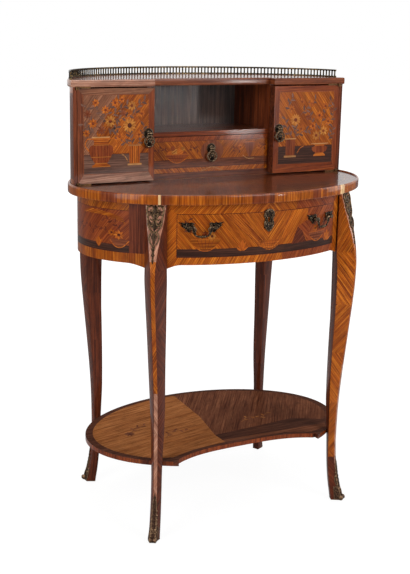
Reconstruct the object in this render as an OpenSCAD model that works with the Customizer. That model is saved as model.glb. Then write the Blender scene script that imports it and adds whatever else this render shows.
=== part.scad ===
// Tiered writing desk: an oval table on four cabriole legs with a shelf below,
// and a low cabinet of two cupboards, an open niche and a drawer on its top.
// The origin is on the floor under the middle of the oval top. The front faces -Y.

/* [Table top] */
// Half width of the oval top
top_half_w = 341; // [325:1:360]
// Half depth of the oval top
top_half_d = 237; // [228:1:250]
// Height of the raised edge of the top above the floor
top_edge_z = 741; // [725:1:760]
// Height of the whole edge band
edge_band_h = 20; // [18:0.5:24]
// How far the raised edge stands above the writing surface
lip_h = 3; // [2:0.5:6]
// Width of the raised edge
lip_w = 5; // [4:0.5:5.5]

/* [Aprons] */
// How far the aprons stand in from the edge of the top
apron_inset = 20; // [18:0.5:24]
// Thickness of the bent aprons
apron_t = 16; // [12:0.5:18]
// Height of the aprons between the legs
apron_h = 125; // [115:1:135]
// How much further the aprons come down beside the legs
bracket_drop = 8; // [4:0.5:12]
// Width of the curved bracket at each end of an apron
bracket_w = 26; // [15:1:34]

/* [Main drawer] */
// Thickness of the bowed drawer front
drawer_front_t = 18; // [15:0.5:20]
// How far the drawer box stands in from each end of its front
drawer_box_inset = 27.3; // [26:0.1:50]
// Thickness of the drawer sides and back
drawer_side_t = 10; // [8:0.5:14]
// Height of the drawer sides
drawer_side_h = 88; // [60:1:92]
// Thickness of the drawer bottom
drawer_bottom_t = 5; // [4:0.5:7]
// Distance from the back of the drawer's sides to the back apron
drawer_end_gap = 22.3; // [16:0.1:50]
// Thickness of the rail under the drawer
bearer_t = 14; // [12:0.5:18]
// Thickness of the rail over the drawer
top_rail_t = 14; // [12:0.5:16]
// Gap round the drawer front
front_gap = 1.2; // [0.8:0.1:2]
// Height of the side guides above the runners
guide_h = 26; // [15:1:40]

/* [Shelf] */
// Height of the upper face of the shelf
shelf_z = 168; // [160:1:190]
// Thickness of the shelf
shelf_t = 10; // [8:0.5:14]
// How much narrower the shelf is than the top, at each side
shelf_inset_w = 35; // [31:1:41]
// How much shallower the shelf is than the top, at the back
shelf_inset_d = 22; // [18:1:27]
// Distance from a front leg's inner corner to the front corner of the shelf
shelf_corner_gap = 38; // [30:1:55]
// Depth of the hollow in the middle of the shelf's front edge
shelf_hollow = 30; // [10:1:40]
// How flat the hollow is in its middle: 2 is a plain bow
shelf_hollow_power = 3.2; // [2:0.1:5]

/* [Cabinet] */
// Height of the cabinet's upper face above the floor
cabinet_top_z = 955; // [930:1:985]
// Thickness of the cabinet's top board
cabinet_top_t = 15; // [12:0.5:20]
// Where the doors' faces lie, behind the middle line
front_plane_y = 13.6; // [5:0.2:30]
// How far the bay between the doors stands back
bay_setback = 20; // [18:0.5:26]
// Thickness of the doors
door_t = 19.6; // [15:0.1:19.7]
// Half width of the bay between the doors
bay_half_w = 148; // [130:1:160]
// Thickness of the upright partitions
partition_t = 10; // [8:0.5:14]
// Thickness of the bent cabinet wall
shell_t = 8; // [6:0.5:10]
// How far the cabinet wall stands in from the edge of the top
shell_inset = 6; // [5.6:0.1:9]
// Thickness of the cabinet floor
floor_t = 13; // [10:0.5:16]
// Share of the cabinet's inner height that the open niche takes
niche_share = 0.524; // [0.44:0.002:0.58]
// Thickness of the shelf under the niche
niche_shelf_t = 10; // [8:0.5:14]
// Gap between the corners of the niche's back board and the cabinet's wall
niche_back_gap = 2.3; // [1:0.1:30]
// Thickness of the board behind the niche
niche_back_t = 7; // [4:0.5:8]
// Gap under the doors, over the raised edge that they swing across
door_low_gap = 0.5; // [0.4:0.1:2]
// Gap over the doors
door_high_gap = 2.5; // [1:0.1:4]
// Thickness of the small drawer's front
small_front_t = 16; // [12:0.5:20]
// Thickness of the small drawer's sides and back
small_side_t = 8; // [6:0.5:10]
// Thickness of the small drawer's bottom
small_bottom_t = 4; // [3:0.5:6]
// How much lower the small drawer's sides are than its front
small_side_drop = 12.5; // [8:0.5:25]

/* [Gallery] */
// Height of the gallery
gallery_h = 17; // [14:0.5:26]
// Width of the gallery's foot strip and rail
gallery_w = 5; // [4:0.5:7]
// How far the gallery stands in from the edge of the top board
gallery_inset = 3; // [1:0.5:8]
// Distance from one spindle to the next
spindle_pitch = 8; // [7:0.5:14]
// Radius of a spindle
spindle_r = 1.6; // [0.8:0.1:2]

/* [Mounts and pulls] */
// Height of the posts that carry the main drawer's bails
bail_z = 675; // [667:1:683]
// Distance from an end of the drawer front to each bail's centre
bail_inset = 63.6; // [57:0.1:82]
// Half the distance between a bail's two posts
bail_half_w = 26; // [23:1:30]
// How far a bail hangs below its posts
bail_drop = 19; // [17:1:30]
// Radius of a bail's rod
bail_r = 2; // [1.6:0.1:2.3]
// Height of the drawer's keyhole
key_z = 686; // [680:1:692]
// Radius of the rosettes on the doors and the small drawer
rosette_r = 11; // [9:0.5:13]
// How high on the doors the rosettes are, as a share of the doors' height
door_pull_share = 0.513; // [0.3:0.001:0.7]
// How high on the small drawer's front its rosette is, as a share of its height
small_pull_share = 0.65; // [0.5:0.01:0.8]
// Distance from a door's free edge to its pull
door_pull_edge = 14; // [13:0.5:30]
// Height of the whole drop that hangs from a rosette
drop_h = 30; // [24:1:34]
// Radius of the pins that the drops swing on
drop_pin_r = 1; // [0.8:0.1:1.2]
// Thickness of the cast mounts on the legs
mount_t = 3; // [2:0.5:4]

/* [Hidden] */
$fn = 48;

// Clearances
run_gap = 0.3;
pin_gap = 0.06;
glue_gap = 0.1;
hole_gap = 0.08;
far = 600;

// Heights that several pieces share
surface_z = top_edge_z - lip_h;
top_under_z = top_edge_z - edge_band_h;
apron_low_z = top_under_z - apron_h;
bracket_z = apron_low_z - bracket_drop;
bearer_low_z = apron_low_z + 4;
bearer_z = bearer_low_z + bearer_t;
top_rail_z = top_under_z - top_rail_t;
drawer_low_z = bearer_z + run_gap;
drawer_high_z = drawer_low_z + drawer_side_h;
kicker_z = drawer_high_z + 0.5;

// Ovals: half axes of the aprons, and of what stands inside them
apron_a = top_half_w - apron_inset;
apron_b = top_half_d - apron_inset;
front_in_a = apron_a - drawer_front_t;
front_in_b = apron_b - drawer_front_t;
rail_a = front_in_a - 1;
rail_b = front_in_b - 1;
in_a = apron_a - apron_t;
in_b = apron_b - apron_t;
shell_a = top_half_w - shell_inset;
shell_b = top_half_d - shell_inset;
shell_in_a = shell_a - shell_t;
shell_in_b = shell_b - shell_t;
board_a = top_half_w - 1;
board_b = top_half_d - 1;

// The cabinet's own planes
bay_front_y = front_plane_y + bay_setback;
board_low_z = cabinet_top_z - cabinet_top_t;
cabinet_floor_z = surface_z + floor_t;
niche_h = niche_share * (board_low_z - cabinet_floor_z);
niche_shelf_z = board_low_z - niche_h;
door_low_z = top_edge_z + door_low_gap;
door_high_z = board_low_z - door_high_gap;
door_pull_z = door_low_z + door_pull_share * (door_high_z - door_low_z);
door_inner_x = bay_half_w + 2;
door_outer_x = shell_in_a - 1.6;
door_bevel = 2.9;
pivot_x = door_outer_x;
pivot_y = front_plane_y - 1;

// Oval outlines
oval_points = 180;
function oval_at(a, b, t) = [a * cos(t), b * sin(t)];
function oval_y(a, b, x) = b * sqrt(1 - pow(x / a, 2));
function oval_slope(a, b, x) = atan(b * x / (a * a * sqrt(1 - pow(x / a, 2))));
niche_back_y = oval_y(shell_in_a, shell_in_b, bay_half_w) - niche_back_t - niche_back_gap;
module oval(a, b) {
    polygon([for (i = [0:oval_points - 1]) oval_at(a, b, 360 * i / oval_points)]);
}
module oval_slab(a, b, z0, z1) {
    translate([0, 0, z0]) linear_extrude(z1 - z0) oval(a, b);
}
module oval_ring(a, b, t, z0, z1) {
    translate([0, 0, z0]) linear_extrude(z1 - z0) difference() {
        oval(a, b);
        oval(a - t, b - t);
    }
}
// A box from one corner to the other
module block(p, q) {
    translate(p) cube(q - p);
}
module both_sides() {
    children();
    mirror([1, 0, 0]) children();
}
module four_corners() {
    both_sides() {
        children();
        mirror([0, 1, 0]) children();
    }
}

// Legs. One quarter is described, with X and Y away from the middle of the table.
// Each station: height, the outer chamfer's middle (x, y) and width, then the
// three inner corners: beside the drawer front, innermost, and beside the side apron.
// They are drawn for a top of 341 by 237 half, 721 to its underside, and follow its size.
head_a = [208.5, 170];
head_b = [216, 142];
head_c = [248, 146];
plan_w = top_half_w / 341;
plan_d = top_half_d / 237;
leg_rise = top_under_z / 721;
function on_plan(p) = [p[0] * plan_w, p[1] * plan_d];
join_a = on_plan(head_a);
join_b = on_plan(head_b);
join_c = on_plan(head_c);
leg_stations = [
    [721, 230.5, 159.5, 41, head_a, head_b, head_c],
    [690, 234.6, 166, 36, head_a, head_b, head_c],
    [665, 238.7, 171, 28, head_a, head_b, head_c],
    [640, 242.6, 175.8, 20.5, head_a, head_b, head_c],
    [615, 246.3, 180.4, 14.5, head_a, head_b, head_c],
    [588, 248.8, 184.5, 10, head_a, head_b, head_c],
    [560, 249.7, 186.7, 8.5, [209.5, 173], [216, 143], [250.5, 151]],
    [520, 248.5, 187, 8.5, [210.5, 174], [217.5, 142], [249.8, 154]],
    [480, 246.3, 185.6, 8.5, [210.5, 174], [218, 142], [247.8, 155]],
    [440, 243.6, 183.3, 8.3, [210.3, 173], [218, 142.5], [245.3, 154.6]],
    [400, 240.8, 181, 8.2, [210, 171.5], [217.5, 142], [242.8, 153.6]],
    [350, 237.4, 177.9, 8, [209.3, 169.8], [216.8, 142], [239.6, 152.7]],
    [300, 234.4, 174.6, 7.8, [208.8, 169], [216.5, 142], [236.5, 152]],
    [250, 232.3, 171.4, 7.6, [209.5, 168.5], [216.5, 143], [234, 151.5]],
    [200, 231.2, 169.6, 7.6, [211.5, 167.5], [217.5, 146], [233, 152]],
    [150, 230.9, 169, 7.6, [213, 166.5], [219, 149], [232.8, 153.5]],
    [105, 231.9, 170.6, 7.6, [214, 167], [220, 151], [233.8, 155]],
    [70, 234, 173.4, 7.6, [215.5, 168.7], [221.5, 153], [236, 157.5]],
    [35, 238, 178.6, 7.6, [218, 171.8], [224, 156.3], [240, 162]],
    [12, 242, 183.6, 7.6, [220.5, 174.8], [226.5, 159.3], [244, 167]],
    [0, 243.8, 185.8, 7.6, [221.7, 176.2], [227.7, 160.7], [245.8, 169.4]]
];
rings_per_station = 3;
chamfer_turn = 33;
chamfer_along = [cos(chamfer_turn), -sin(chamfer_turn)];
chamfer_out = [sin(chamfer_turn), cos(chamfer_turn)];
sole_t = 1.5;

// The whole top of a leg follows the height of the table top
function station_z(i) = leg_stations[i][0] * leg_rise;
// A station's values in one flat list, so that each is eased on its own
function station(i) = let (s = leg_stations[i])
    concat(on_plan([s[1], s[2]]), [s[3] * plan_w], on_plan(s[4]), on_plan(s[5]), on_plan(s[6]));
last_station = len(leg_stations) - 1;
function secant(i, k) = (station(i + 1)[k] - station(i)[k]) / (station_z(i + 1) - station_z(i));
function lean(i, k) =
    i == 0 ? secant(0, k)
    : i == last_station ? secant(last_station - 1, k)
    : let (p = secant(i - 1, k), q = secant(i, k)) p * q <= 0 ? 0 : 2 * p * q / (p + q);
function eased(i, k, z) =
    let (z0 = station_z(i), z1 = station_z(i + 1), h = z1 - z0, u = (z - z0) / h)
    (2 * u * u * u - 3 * u * u + 1) * station(i)[k] + (u * u * u - 2 * u * u + u) * h * lean(i, k)
    + (3 * u * u - 2 * u * u * u) * station(i + 1)[k] + (u * u * u - u * u) * h * lean(i + 1, k);
function interval(z, i = 0) = i >= last_station - 1 || z >= station_z(i + 1) ? i : interval(z, i + 1);
function leg_values(z) = let (i = interval(z)) [for (k = [0:8]) eased(i, k, z)];
function leg_section(z) =
    let (v = leg_values(z), c = [v[0], v[1]], h = v[2] / 2)
    [c - h * chamfer_along, [v[3], v[4]], [v[5], v[6]], [v[7], v[8]], c + h * chamfer_along];
function leg_heights(z0, z1) =
    concat([z1], [for (i = [0:last_station - 1]) for (j = [0:rings_per_station - 1])
        let (z = station_z(i) + (station_z(i + 1) - station_z(i)) * j / rings_per_station)
        if (z < z1 - 0.5 && z > z0 + 0.5) z], [z0]);
// A convex outline moved outwards by g
function moved_corner(p, q, r, g) =
    let (u = (q - p) / norm(q - p), v = (r - q) / norm(r - q),
         m = [-u[1], u[0]], n = [-v[1], v[0]], k = 1 + m * n)
    q - g * (m + n) / k;
function grown(s, g) = let (n = len(s))
    [for (i = [0:n - 1]) moved_corner(s[(i + n - 1) % n], s[i], s[(i + 1) % n], g)];
// A solid through a stack of outlines, each with the same number of corners
module stacked(outlines, heights) {
    n = len(outlines[0]);
    m = len(outlines);
    points = [for (i = [0:m - 1]) for (p = outlines[i]) [p[0], p[1], heights[i]]];
    walls = [for (i = [0:m - 2]) for (j = [0:n - 1]) let (a = i * n + j, b = i * n + (j + 1) % n)
        each [[a, b, a + n], [b, b + n, a + n]]];
    top = [for (j = [1:n - 2]) [0, j + 1, j]];
    foot = [for (j = [1:n - 2]) [(m - 1) * n, (m - 1) * n + j, (m - 1) * n + j + 1]];
    polyhedron(concat(points), concat(walls, top, foot));
}
module leg_stack(z0, z1, g) {
    heights = leg_heights(z0, z1);
    stacked([for (z = heights) g == 0 ? leg_section(z) : grown(leg_section(z), g)], heights);
}
dowel_r = 3;
dowel_half = 11;
dowel_at = (leg_section(shelf_z)[2] + [2, 2]);
module dowel_place() {
    translate([dowel_at[0] - 1.5, dowel_at[1] - 1.5, shelf_z - shelf_t / 2]) rotate([0, 0, 50]) rotate([0, 90, 0])
        children();
}
module leg() {
    color("#6b3a20") difference() {
        leg_stack(sole_t, top_under_z, 0);
        dowel_place() cylinder(r = dowel_r + glue_gap, h = 2 * dowel_half + 0.4, center = true);
    }
}
module leg_front_left() mirror([0, 1, 0]) mirror([1, 0, 0]) leg();
module leg_front_right() mirror([0, 1, 0]) leg();
module leg_back_left() mirror([1, 0, 0]) leg();
module leg_back_right() leg();

// What the head of a leg takes out of the aprons
module leg_head(gap) {
    reach = 60;
    translate([0, 0, -1]) linear_extrude(top_edge_z) polygon([
        join_a + [-gap, 0] + reach * (join_a - join_b) / norm(join_a - join_b),
        join_a + [-gap, 0], join_b + [-gap, -gap], join_c + [0, -gap],
        join_c + [0, -gap] + reach * (join_c - join_b) / norm(join_c - join_b),
        join_c + [reach, reach]
    ]);
}

// Cast mounts on the legs: a pierced chute down each front leg's chamfer
chute_shape = [
    [719, 15], [707, 17], [694, 14.5], [680, 13.5], [671, 7], [668, 4], [664, 8], [656, 10], [647, 7.5],
    [640, 2.5], [634, 4.5], [627, 4], [621, 2.4], [615, 3.6], [609, 2.6], [604, 0.8]
];
module chute() {
    heights = [for (s = chute_shape) s[0] * leg_rise];
    color("#4a4038") difference() {
        stacked([for (i = [0:len(chute_shape) - 1])
            let (v = leg_values(heights[i]), c = [v[0], v[1]], w = chute_shape[i][1] * chamfer_along)
            [c - w + chamfer_out * 0.3, c + w + chamfer_out * 0.3, c + w + chamfer_out * (mount_t * 0.55),
             c + chamfer_out * (mount_t + 0.3), c - w + chamfer_out * (mount_t * 0.55)]], heights);
        for (hole = [[710, 7, 2.8], [710, -7, 2.8], [690, 6.5, 3], [690, -6.5, 3], [657, 3.6, 1.8], [657, -3.6, 1.8]]) {
            v = leg_values(hole[0] * leg_rise);
            translate([v[0] + hole[1] * chamfer_along[0], v[1] + hole[1] * chamfer_along[1],
                hole[0] * leg_rise])
                rotate([0, 0, -chamfer_turn]) rotate([90, 0, 0]) cylinder(r = hole[2], h = 14, center = true);
        }
    }
}
module chutes() both_sides() mirror([0, 1, 0]) chute();

// A shoe on each foot: a shell round the outer corner, a leaf above it, a scrolled toe and a sole
shoe_gap = 0.25;
shoe_t = 1.4;
cuff_h = 34;
leaf_top = 105;
leaf_shape = [[105, 0.8], [92, 3.2], [78, 4.4], [62, 4.2], [48, 5.2], [34, 5.8], [20, 5.8]];
toe_r = 6.5;
toe_half_w = 7.5;
// How far the shell reaches back from the outer corner, from its top down
shell_reach = [[36, 8], [24, 10.5], [12, 12.5], [0, 14]];
module outer_corner() {
    wide = 30 * chamfer_along;
    stacked([for (s = shell_reach) let (v = leg_values(s[0]), c = [v[0], v[1]])
        [c - wide - s[1] * chamfer_out, c + wide - s[1] * chamfer_out,
         c + wide + 15 * chamfer_out, c - wide + 15 * chamfer_out]], [for (s = shell_reach) s[0]]);
}
module sabot() {
    color("#4a4038") {
        difference() {
            union() {
                intersection() {
                    leg_stack(0, cuff_h, shoe_gap + shoe_t);
                    outer_corner();
                }
                stacked([for (s = leaf_shape) let (v = leg_values(s[0]), c = [v[0], v[1]], w = s[1] * chamfer_along)
                    [c - w + chamfer_out * shoe_gap, c + w + chamfer_out * shoe_gap,
                     c + w * 0.7 + chamfer_out * (shoe_gap + mount_t * 0.6), c + chamfer_out * (shoe_gap + mount_t),
                     c - w * 0.7 + chamfer_out * (shoe_gap + mount_t * 0.6)]], [for (s = leaf_shape) s[0]]);
                toe = leg_values(toe_r);
                translate([toe[0] + 2 * chamfer_out[0], toe[1] + 2 * chamfer_out[1], toe_r])
                    rotate([0, 0, -chamfer_turn]) rotate([0, 90, 0])
                    cylinder(r = toe_r, h = 2 * toe_half_w, center = true);
            }
            leg_stack(sole_t, leaf_top + 10, shoe_gap);
        }
        leg_stack(0, sole_t, 0);
    }
}
module sabots() four_corners() sabot();

// The top and its edge band
module table_top() {
    color("#4b3129") difference() {
        oval_slab(top_half_w - lip_w, top_half_d - lip_w, top_under_z, surface_z);
        both_sides() {
            for (p = top_screw_places) translate([p[0], p[1], top_under_z - 1]) screw_hole(11);
            for (p = cabinet_screw_places) translate([p[0], p[1], top_under_z]) {
                screw_hole(40);
                translate([0, 0, -1]) cylinder(r = screw_head_r + hole_gap, h = 1 + screw_sink + screw_head_h + hole_gap);
            }
            hinge_recess(surface_z - hinge_sunk, far);
        }
    }
}
module table_edge_band() {
    color("#9a5a26") {
        oval_ring(top_half_w - 1, top_half_d - 1, lip_w - 1, top_edge_z - 1, top_edge_z);
        oval_ring(top_half_w, top_half_d, lip_w, top_under_z + 1, top_edge_z - 1);
        oval_ring(top_half_w - 1, top_half_d - 1, lip_w - 1, top_under_z, top_under_z + 1);
    }
}

// Screws
screw_r = 2;
screw_head_r = 4;
screw_head_h = 2.6;
screw_sink = 0.4;
top_screw_l = 24;
cabinet_screw_l = 24;
module screw_hole(h) cylinder(r = screw_r + hole_gap, h = h);
module screw(l) {
    difference() {
        union() {
            cylinder(r = screw_r, h = l);
            cylinder(r = screw_head_r, h = screw_head_h);
        }
        translate([-screw_head_r - 1, -0.5, -0.1]) cube([2 * screw_head_r + 2, 1, 1.1]);
    }
}
front_half_w = join_a[0] - front_gap;
drawer_half_w = front_half_w - drawer_box_inset;
drawer_end_y = oval_y(in_a, in_b, drawer_half_w) - drawer_end_gap;
kicker_mid_x = drawer_half_w - 2;
top_screw_places = [for (y = [-90, 20, 120]) [kicker_mid_x, y * plan_d]];
cabinet_screw_places = [for (p = [[70, 60], [220, 60], [100, 165]]) on_plan(p)];
module top_screws() color("#8f8a80") both_sides()
    for (p = top_screw_places) translate([p[0], p[1], top_under_z + 9.5 - top_screw_l]) screw(top_screw_l);
module cabinet_screws() color("#8f8a80") both_sides()
    for (p = cabinet_screw_places) translate([p[0], p[1], top_under_z + screw_sink]) screw(cabinet_screw_l);

// Aprons. The lower edge sweeps down to a bracket beside each leg.
bracket_steps = 6;
function bracket_edge(end) = [for (i = [0:bracket_steps])
    [end - bracket_w * (1 - i / bracket_steps), apron_low_z - bracket_drop * (1 - cos(90 * i / bracket_steps))]];
module under_cut(end) {
    edge = bracket_edge(end);
    rotate([90, 0, 0]) linear_extrude(2 * far, center = true) polygon(concat(
        [[-end, bracket_z - 1]], [for (i = [bracket_steps:-1:0]) [-edge[i][0], edge[i][1]]],
        edge, [[end, bracket_z - 1]]));
}
side_end = join_c[1] - 5;
module side_apron() {
    color("#7a3f22") difference() {
        intersection() {
            oval_ring(apron_a, apron_b, apron_t, bracket_z, top_under_z);
            block([join_b[0], -join_c[1] - 4, 0], [far, join_c[1] + 4, far * 2]);
        }
        leg_head(0);
        mirror([0, 1, 0]) leg_head(0);
        rotate([0, 0, 90]) under_cut(side_end);
    }
}
module apron_left() mirror([1, 0, 0]) side_apron();
module apron_right() side_apron();
module apron_back() {
    color("#7a3f22") difference() {
        intersection() {
            oval_ring(apron_a, apron_b, apron_t, bracket_z, top_under_z);
            block([-join_b[0], join_b[1] + 1, 0], [join_b[0], far, far * 2]);
        }
        leg_head(0);
        mirror([1, 0, 0]) leg_head(0);
        under_cut(join_a[0]);
    }
}

// Rails in front, over and under the drawer
rail_back_y = join_b[1] - 25;
module front_rail(z0, z1) {
    color("#8a6a48") intersection() {
        union() {
            oval_slab(rail_a, rail_b, z0, z1);
            intersection() {
                oval_slab(in_a, in_b, z0, z1);
                block([-far, -join_b[1] + 0.5, z0], [far, 0, z1]);
            }
        }
        block([-far, -far, z0], [far, -rail_back_y, z1]);
    }
}
module bearer_rail() front_rail(bearer_low_z, bearer_z);
module top_rail() {
    color("#8a6a48") difference() {
        front_rail(top_rail_z, top_under_z);
        block([-bolt_w / 2 - 1, -lock_face_y + lock_t / 2 - bolt_t / 2 - 1, top_rail_z - 1],
            [bolt_w / 2 + 1, -lock_face_y + lock_t / 2 + bolt_t / 2 + 1, top_rail_z + 10]);
    }
}
runner_w = 24;
guide_w = runner_w - 14;
runner_in_x = drawer_half_w - 14;
module drawer_runners() {
    color("#a98a62") both_sides() intersection() {
        oval_slab(in_a, in_b, bearer_low_z, bearer_z + guide_h);
        union() {
            block([runner_in_x, -rail_back_y, bearer_low_z], [runner_in_x + runner_w, far, bearer_z]);
            block([drawer_half_w + 0.5, -rail_back_y, bearer_z],
                [runner_in_x + runner_w, far, bearer_z + guide_h]);
        }
    }
}
module drawer_kickers() {
    color("#a98a62") both_sides() difference() {
        intersection() {
            oval_slab(in_a, in_b, kicker_z, top_under_z);
            block([runner_in_x, -rail_back_y, kicker_z], [runner_in_x + runner_w, far, top_under_z]);
        }
        for (p = top_screw_places) translate([p[0], p[1], top_under_z + 9.5 - top_screw_l]) {
            translate([0, 0, -20]) cylinder(r = screw_head_r + hole_gap, h = 20 + screw_head_h + hole_gap);
            screw_hole(top_screw_l);
        }
    }
}
block_in_x = runner_in_x + runner_w + 14;
module corner_blocks() {
    color("#a98a62") four_corners() intersection() {
        oval_slab(in_a, in_b, bearer_z, top_rail_z);
        translate([0, 0, bearer_z]) linear_extrude(top_rail_z - bearer_z) polygon([
            [block_in_x, join_b[1] - 0.2], [block_in_x, join_b[1] - 12],
            [block_in_x + 22, rail_back_y - 10], [far, rail_back_y - 10], [far, join_b[1] - 0.2]
        ]);
    }
}

// The shelf between the legs, hollowed in front and let round each leg's corner
shelf_step = 12;
shelf_half_w = top_half_w - shelf_inset_w;
shelf_half_d = top_half_d - shelf_inset_d;
shelf_corner_x = join_b[0] - shelf_corner_gap;
module undertier_shelf() {
    corner_y = oval_y(shelf_half_w, shelf_half_d, shelf_corner_x);
    side_y = corner_y - shelf_step;
    hollow_y = side_y - shelf_hollow;
    hollow_x = shelf_corner_x - 6;
    mid = leg_section(shelf_z - shelf_t / 2);
    color("#7d4a28") difference() {
        oval_slab(shelf_half_w, shelf_half_d, shelf_z - shelf_t, shelf_z);
        linear_extrude(far) polygon(concat([[-shelf_corner_x, -far], [-shelf_corner_x, -side_y]],
            [for (i = [-16:16]) [hollow_x * i / 16, -hollow_y - shelf_hollow * pow(abs(i) / 16, shelf_hollow_power)]],
            [[shelf_corner_x, -side_y], [shelf_corner_x, -far]]));
        four_corners() {
            translate([0, 0, shelf_z - shelf_t - 1]) linear_extrude(shelf_t + 2) polygon(grown(mid, 0.35));
            dowel_place() cylinder(r = dowel_r + glue_gap, h = 2 * dowel_half + 0.4, center = true);
        }
    }
}
module shelf_dowels() {
    color("#b89468") four_corners() dowel_place() cylinder(r = dowel_r, h = 2 * dowel_half, center = true);
}

// The main drawer
lock_w = 44;
lock_h = 38;
lock_t = 11;
lock_face_y = oval_y(front_in_a, front_in_b, lock_w / 2) - glue_gap;
lock_z = drawer_high_z - lock_h;
bolt_w = 16;
bolt_t = 4;
bolt_up = 1.5;
module key_hole(h) {
    translate([0, -apron_b, key_z]) rotate([90, 0, 0]) {
        cylinder(r = 2.6, h = h, center = true);
        translate([0, -4.5, 0]) cube([2.6, 9, h], center = true);
    }
}
module main_drawer_front() {
    color("#a5622c") difference() {
        intersection() {
            oval_ring(apron_a, apron_b, drawer_front_t, bracket_z, top_under_z - front_gap);
            block([-front_half_w, -far, 0], [front_half_w, -10, far * 2]);
        }
        under_cut(front_half_w);
        key_hole(3 * drawer_front_t);
        both_sides() bail_frame() for (s = [-1, 1]) post_frame(s) rotate([90, 0, 0])
            cylinder(r = stud_r + hole_gap, h = 4 * drawer_front_t, center = true);
    }
}
bottom_z = drawer_low_z + 5;
groove = 4;
module main_drawer_sides() {
    color("#b08a5c") both_sides() difference() {
        intersection() {
            oval_slab(front_in_a, front_in_b, drawer_low_z, drawer_high_z);
            block([drawer_half_w - drawer_side_t, -far, drawer_low_z],
                [drawer_half_w, drawer_end_y, drawer_high_z]);
        }
        block([0, -far, bottom_z - glue_gap],
            [drawer_half_w - drawer_side_t + groove + glue_gap, far, bottom_z + drawer_bottom_t + glue_gap]);
    }
}
module main_drawer_back() {
    inside = drawer_half_w - drawer_side_t;
    color("#b08a5c") block([-inside, drawer_end_y - drawer_side_t, bottom_z + drawer_bottom_t],
        [inside, drawer_end_y, drawer_high_z - 6]);
}
module main_drawer_bottom() {
    reach = drawer_half_w - drawer_side_t + groove;
    color("#a27c50") intersection() {
        oval_slab(front_in_a, front_in_b, bottom_z, bottom_z + drawer_bottom_t);
        block([-reach, -far, bottom_z], [reach, drawer_end_y, bottom_z + drawer_bottom_t]);
    }
}
module drawer_lock() {
    color("#9c8348") difference() {
        block([-lock_w / 2, -lock_face_y, lock_z], [lock_w / 2, -lock_face_y + lock_t, drawer_high_z]);
        block([-bolt_w / 2 - 0.2, -lock_face_y + lock_t / 2 - bolt_t / 2 - 0.2, lock_z + 2],
            [bolt_w / 2 + 0.2, -lock_face_y + lock_t / 2 + bolt_t / 2 + 0.2, far * 2]);
        key_hole(4 * drawer_front_t);
    }
}
module lock_bolt() {
    color("#c0a860") difference() {
        block([-bolt_w / 2, -lock_face_y + lock_t / 2 - bolt_t / 2, lock_z + 2.3],
            [bolt_w / 2, -lock_face_y + lock_t / 2 + bolt_t / 2, drawer_high_z + bolt_up]);
        block([-5, -far, key_z - 12], [5, 0, key_z + 5]);
    }
}

// Escutcheon: an oval shield with leafy ends, pierced for the key
module escutcheon() {
    color("#4a4038") translate([0, -apron_b, key_z - 2]) rotate([90, 0, 0]) difference() {
        union() {
            linear_extrude(2) {
                circle(r = 13);
                for (s = [-1, 1]) translate([s * 8, 9]) circle(r = 8.5);
                for (s = [-1, 1]) translate([s * 7, -9]) circle(r = 7);
                polygon([[-9, 14], [0, 21], [9, 14]]);
                polygon([[-7, -14], [0, -22], [7, -14]]);
            }
            linear_extrude(3.4) difference() {
                circle(r = 10);
                circle(r = 7);
            }
        }
        translate([0, 2, -1]) cylinder(r = 2.6, h = 8);
        translate([-1.3, -7, -1]) cube([2.6, 9, 8]);
    }
}

// A stud through a board of this thickness, with a nut behind it
stud_r = 2;
nut_r = 3.8;
nut_t = 2;
module stud(depth) {
    rotate([-90, 0, 0]) cylinder(r = stud_r, h = depth + nut_t + 0.5);
    translate([0, depth + glue_gap, 0]) rotate([-90, 0, 0]) cylinder(r = nut_r, h = nut_t, $fn = 6);
}

// Bails. Each hangs between two posts that stand on leafy plates.
post_r = 4;
post_out = 8;
pivot_r = 1.8;
bail_x = front_half_w - bail_inset;
arm_x = bail_half_w - 8;
corner_r = 12;
knob_r = 3.4;
module bail_frame() {
    translate([bail_x, -oval_y(apron_a, apron_b, bail_x), bail_z])
        rotate([0, 0, oval_slope(apron_a, apron_b, bail_x)]) children();
}
// Where a post meets the bowed front, in the bail's own frame
function post_set(s) = let (turn = oval_slope(apron_a, apron_b, bail_x), x = bail_x + s * bail_half_w * cos(turn),
    d = [x - bail_x, oval_y(apron_a, apron_b, bail_x) - oval_y(apron_a, apron_b, x)])
    [d[0] * cos(turn) + d[1] * sin(turn), -d[0] * sin(turn) + d[1] * cos(turn),
     oval_slope(apron_a, apron_b, x) - turn];
module post_frame(s) {
    p = post_set(s);
    translate([p[0], p[1], 0]) rotate([0, 0, p[2]]) children();
}
module plate_outline() {
    polygon([[14, 9], [8, 7.5], [4, 9], [-1, 7.5], [-6, 9], [-11, 7], [-8.5, 2], [-5, -3], [-3, -9], [0, -12],
        [3.5, -8.5], [6, -4], [10, 1], [12, 5]]);
}
module bail_plates() {
    color("#4a4038") both_sides() bail_frame() for (s = [-1, 1]) {
        difference() {
            union() {
                post_frame(s) {
                    rotate([90, 0, 0]) linear_extrude(2.2) mirror([s < 0 ? 1 : 0, 0, 0]) plate_outline();
                    rotate([90, 0, 0]) cylinder(r = post_r, h = post_out + post_r);
                    stud(drawer_front_t);
                }
            }
            translate([s * bail_half_w, -post_out, 0]) rotate([0, 90, 0])
                cylinder(r = pivot_r + pin_gap, h = 30, center = true);
        }
    }
}
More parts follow.
